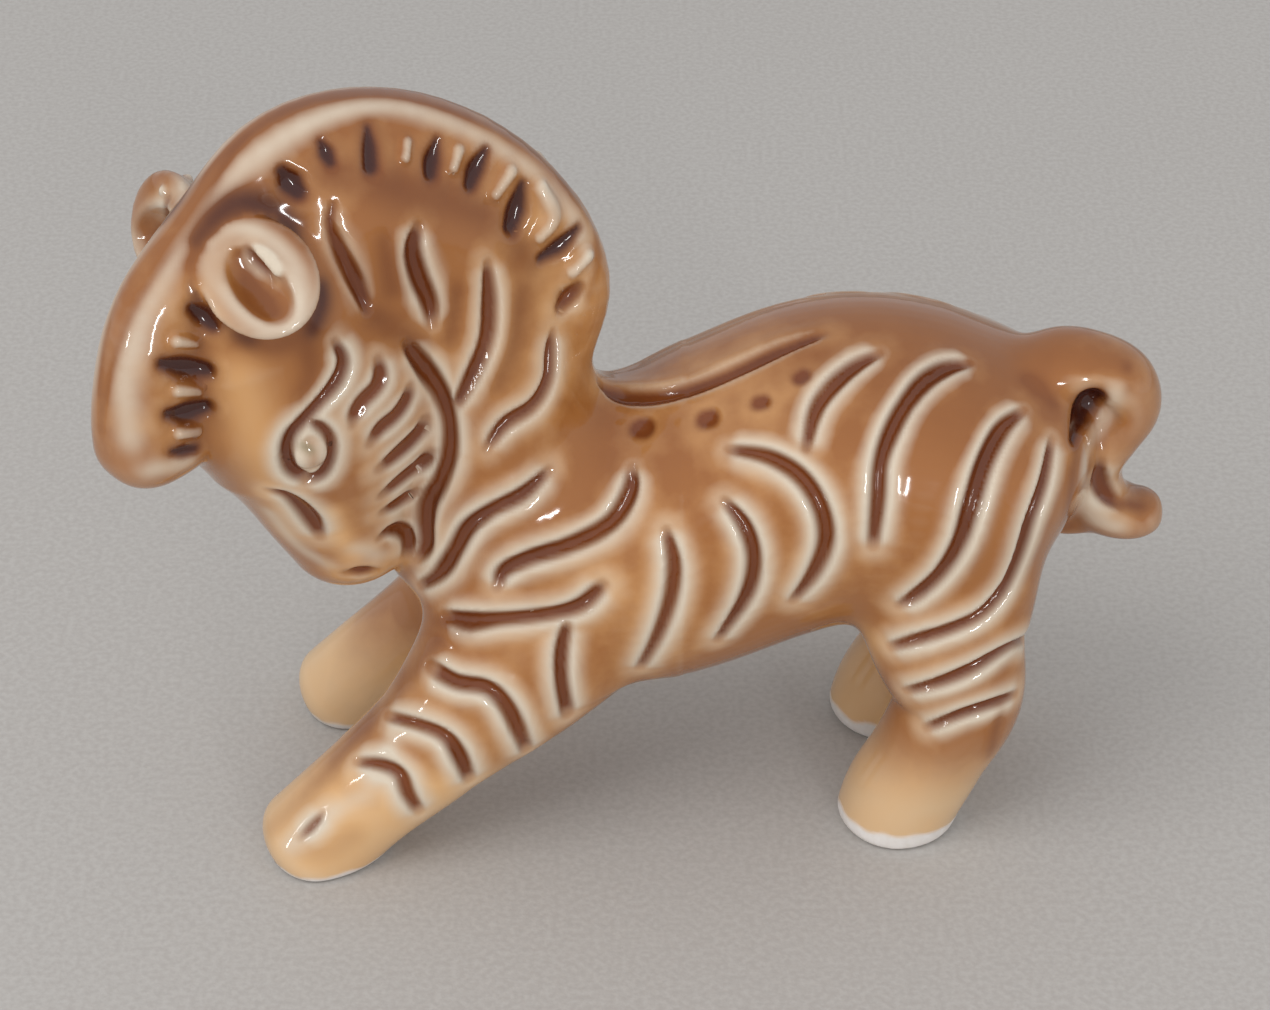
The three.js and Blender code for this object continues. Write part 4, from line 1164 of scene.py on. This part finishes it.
heights = surface.points[:, 2]
waves = sum(np.sin(surface.points @ np.array(way)) for way in
            [(0.9, 0.4, 0), (-0.5, 1.1, 0), (1.7, -1.3, 0), (0.3, 2.3, 0)]) / 4
edgeHeight = np.where(surface.points[:, 0] < 0, footBand["foreHeight"], footBand["height"])
edgeHeight = edgeHeight + footBand["ragged"] * waves
bare = np.clip((edgeHeight - heights) / zones["bareFade"] + 0.5, 0, 1)
facing = surface.blur(surface.normals(), 8)[:, 2]
# surfaces facing up get umber, partly browner glaze and partly painted shade
top = ramp(facing, *zones["topFacing"]) * ramp(heights, *zones["topHeight"])
pointOwners = field.ownerAt(surface.points)
onEar = surface.blur(np.isin(pointOwners, [order["left_ear"], order["right_ear"]]).astype(float), 3)
onLeg = surface.blur((pointOwners >= order["left_fore_leg"]).astype(float), 12)
low = ramp(heights, *zones["lowHeight"]) * onLeg
for key in ("plumPoolAndShade", "brown"):
    layers[key] = layers[key] * (1 - onEar)
layers["hollow"] = layers["hollow"] * onEar
channels = {key: layers[key] for key in ("dark", "pale", "near", "pit", *glazeAndShadeStrokes)}
channels.update(form=formBend, edge=edgeBend, bare=bare, top=top, low=low)
owners = tidyOwners(surface, faceOwners(surface, field))
normals = surface.normals()
honeyGlaze, bareClay = ceramic("honeyGlaze"), ceramic("bareClay")
for name in names:
    foot = name.endswith("foot")
    makePiece(name, surface, owners, normals, channels, bareClay if foot else honeyGlaze)
print("pieces made")

# Floor and backdrop in one, pale and very slightly grainy
floor = {"size": 3.0, "tone": paint(188, 184, 179), "toneLow": paint(178, 173, 168)}


def makeFloor():
    half = floor["size"] / 2
    mesh = bpy.data.meshes.new("floor")
    mesh.from_pydata([(-half, -half, 0), (half, -half, 0), (half, half, 0), (-half, half, 0)], [],
                     [(0, 1, 2, 3)])
    ground = placed("floor", mesh)
    shader = Shader("floorCard")
    speck, wide = shader.noise(1400, 2), shader.noise(8, 2)
    tone = shader.mix((speck * 0.8 + wide * 0.2).step(0.3, 0.7), floor["tone"], floor["toneLow"])
    bump = shader.add("ShaderNodeBump", {}, {"Strength": 0.2, "Distance": 0.0002, "Height": speck})
    mesh.materials.append(shader.finish(shader.add("ShaderNodeBsdfPrincipled", {}, {
        "Base Color": tone, "Roughness": 0.85, "Normal": bump, "Specular IOR Level": 0.2})))


room = {"colour": (0.95, 0.97, 1.0, 1), "strength": 0.68, "lightsAim": (0, 0, 0.04)}
# Places and sizes in metres. The big soft lights don't mirror in the glaze; the two slim windows
# make the highlights.
lights = [
    {"name": "softLeft", "at": (-0.5, -0.35, 0.8), "size": (0.7, 0.7), "power": 3.4},
    {"name": "softFront", "at": (0.15, -0.95, 0.35), "size": (0.9, 0.6), "power": 2.2},
    {"name": "windowFront", "at": (0.26, -0.80, 0.13), "size": (0.035, 0.2), "power": 1.1},
    {"name": "windowLeft", "at": (-0.7, -0.5, 0.2), "size": (0.03, 0.12), "power": 0.3},
]


def makeLights():
    for light in lights:
        lamp = bpy.data.lights.new(light["name"], "AREA")
        lamp.shape, lamp.energy = "RECTANGLE", light["power"]
        lamp.size, lamp.size_y = light["size"]
        thing = placed(light["name"], lamp)
        thing.visible_glossy = light["name"].startswith("window")
        thing.location = light["at"]
        aim = Vector(room["lightsAim"]) - Vector(light["at"])
        thing.rotation_euler = aim.to_track_quat("-Z", "Y").to_euler()
    world = bpy.data.worlds.new("room")
    world.use_nodes = True
    sky = world.node_tree.nodes["Background"]
    sky.inputs["Color"].default_value = room["colour"]
    sky.inputs["Strength"].default_value = room["strength"]
    bpy.context.scene.world = world


def makeCamera():
    ahead, right, up = cameraAxes()
    eye = (np.array(camera["aim"]) - ahead * camera["distance"] + shift) * mm
    lens = bpy.data.cameras.new("photoView")
    lens.sensor_width = camera["sensor"]
    focal = camera["pixelsPerMm"] * camera["distance"]
    lens.lens = focal / camera["width"] * camera["sensor"]
    lens.clip_start = 0.01
    view = placed("photoView", lens)
    axes = Matrix((right, up, -ahead)).transposed().to_4x4()
    view.matrix_world = Matrix.Translation(Vector(eye)) @ axes
    bpy.context.scene.camera = view


makeFloor()
makeLights()
makeCamera()
bpy.context.scene.view_settings.view_transform = "Standard"
print("stage set")
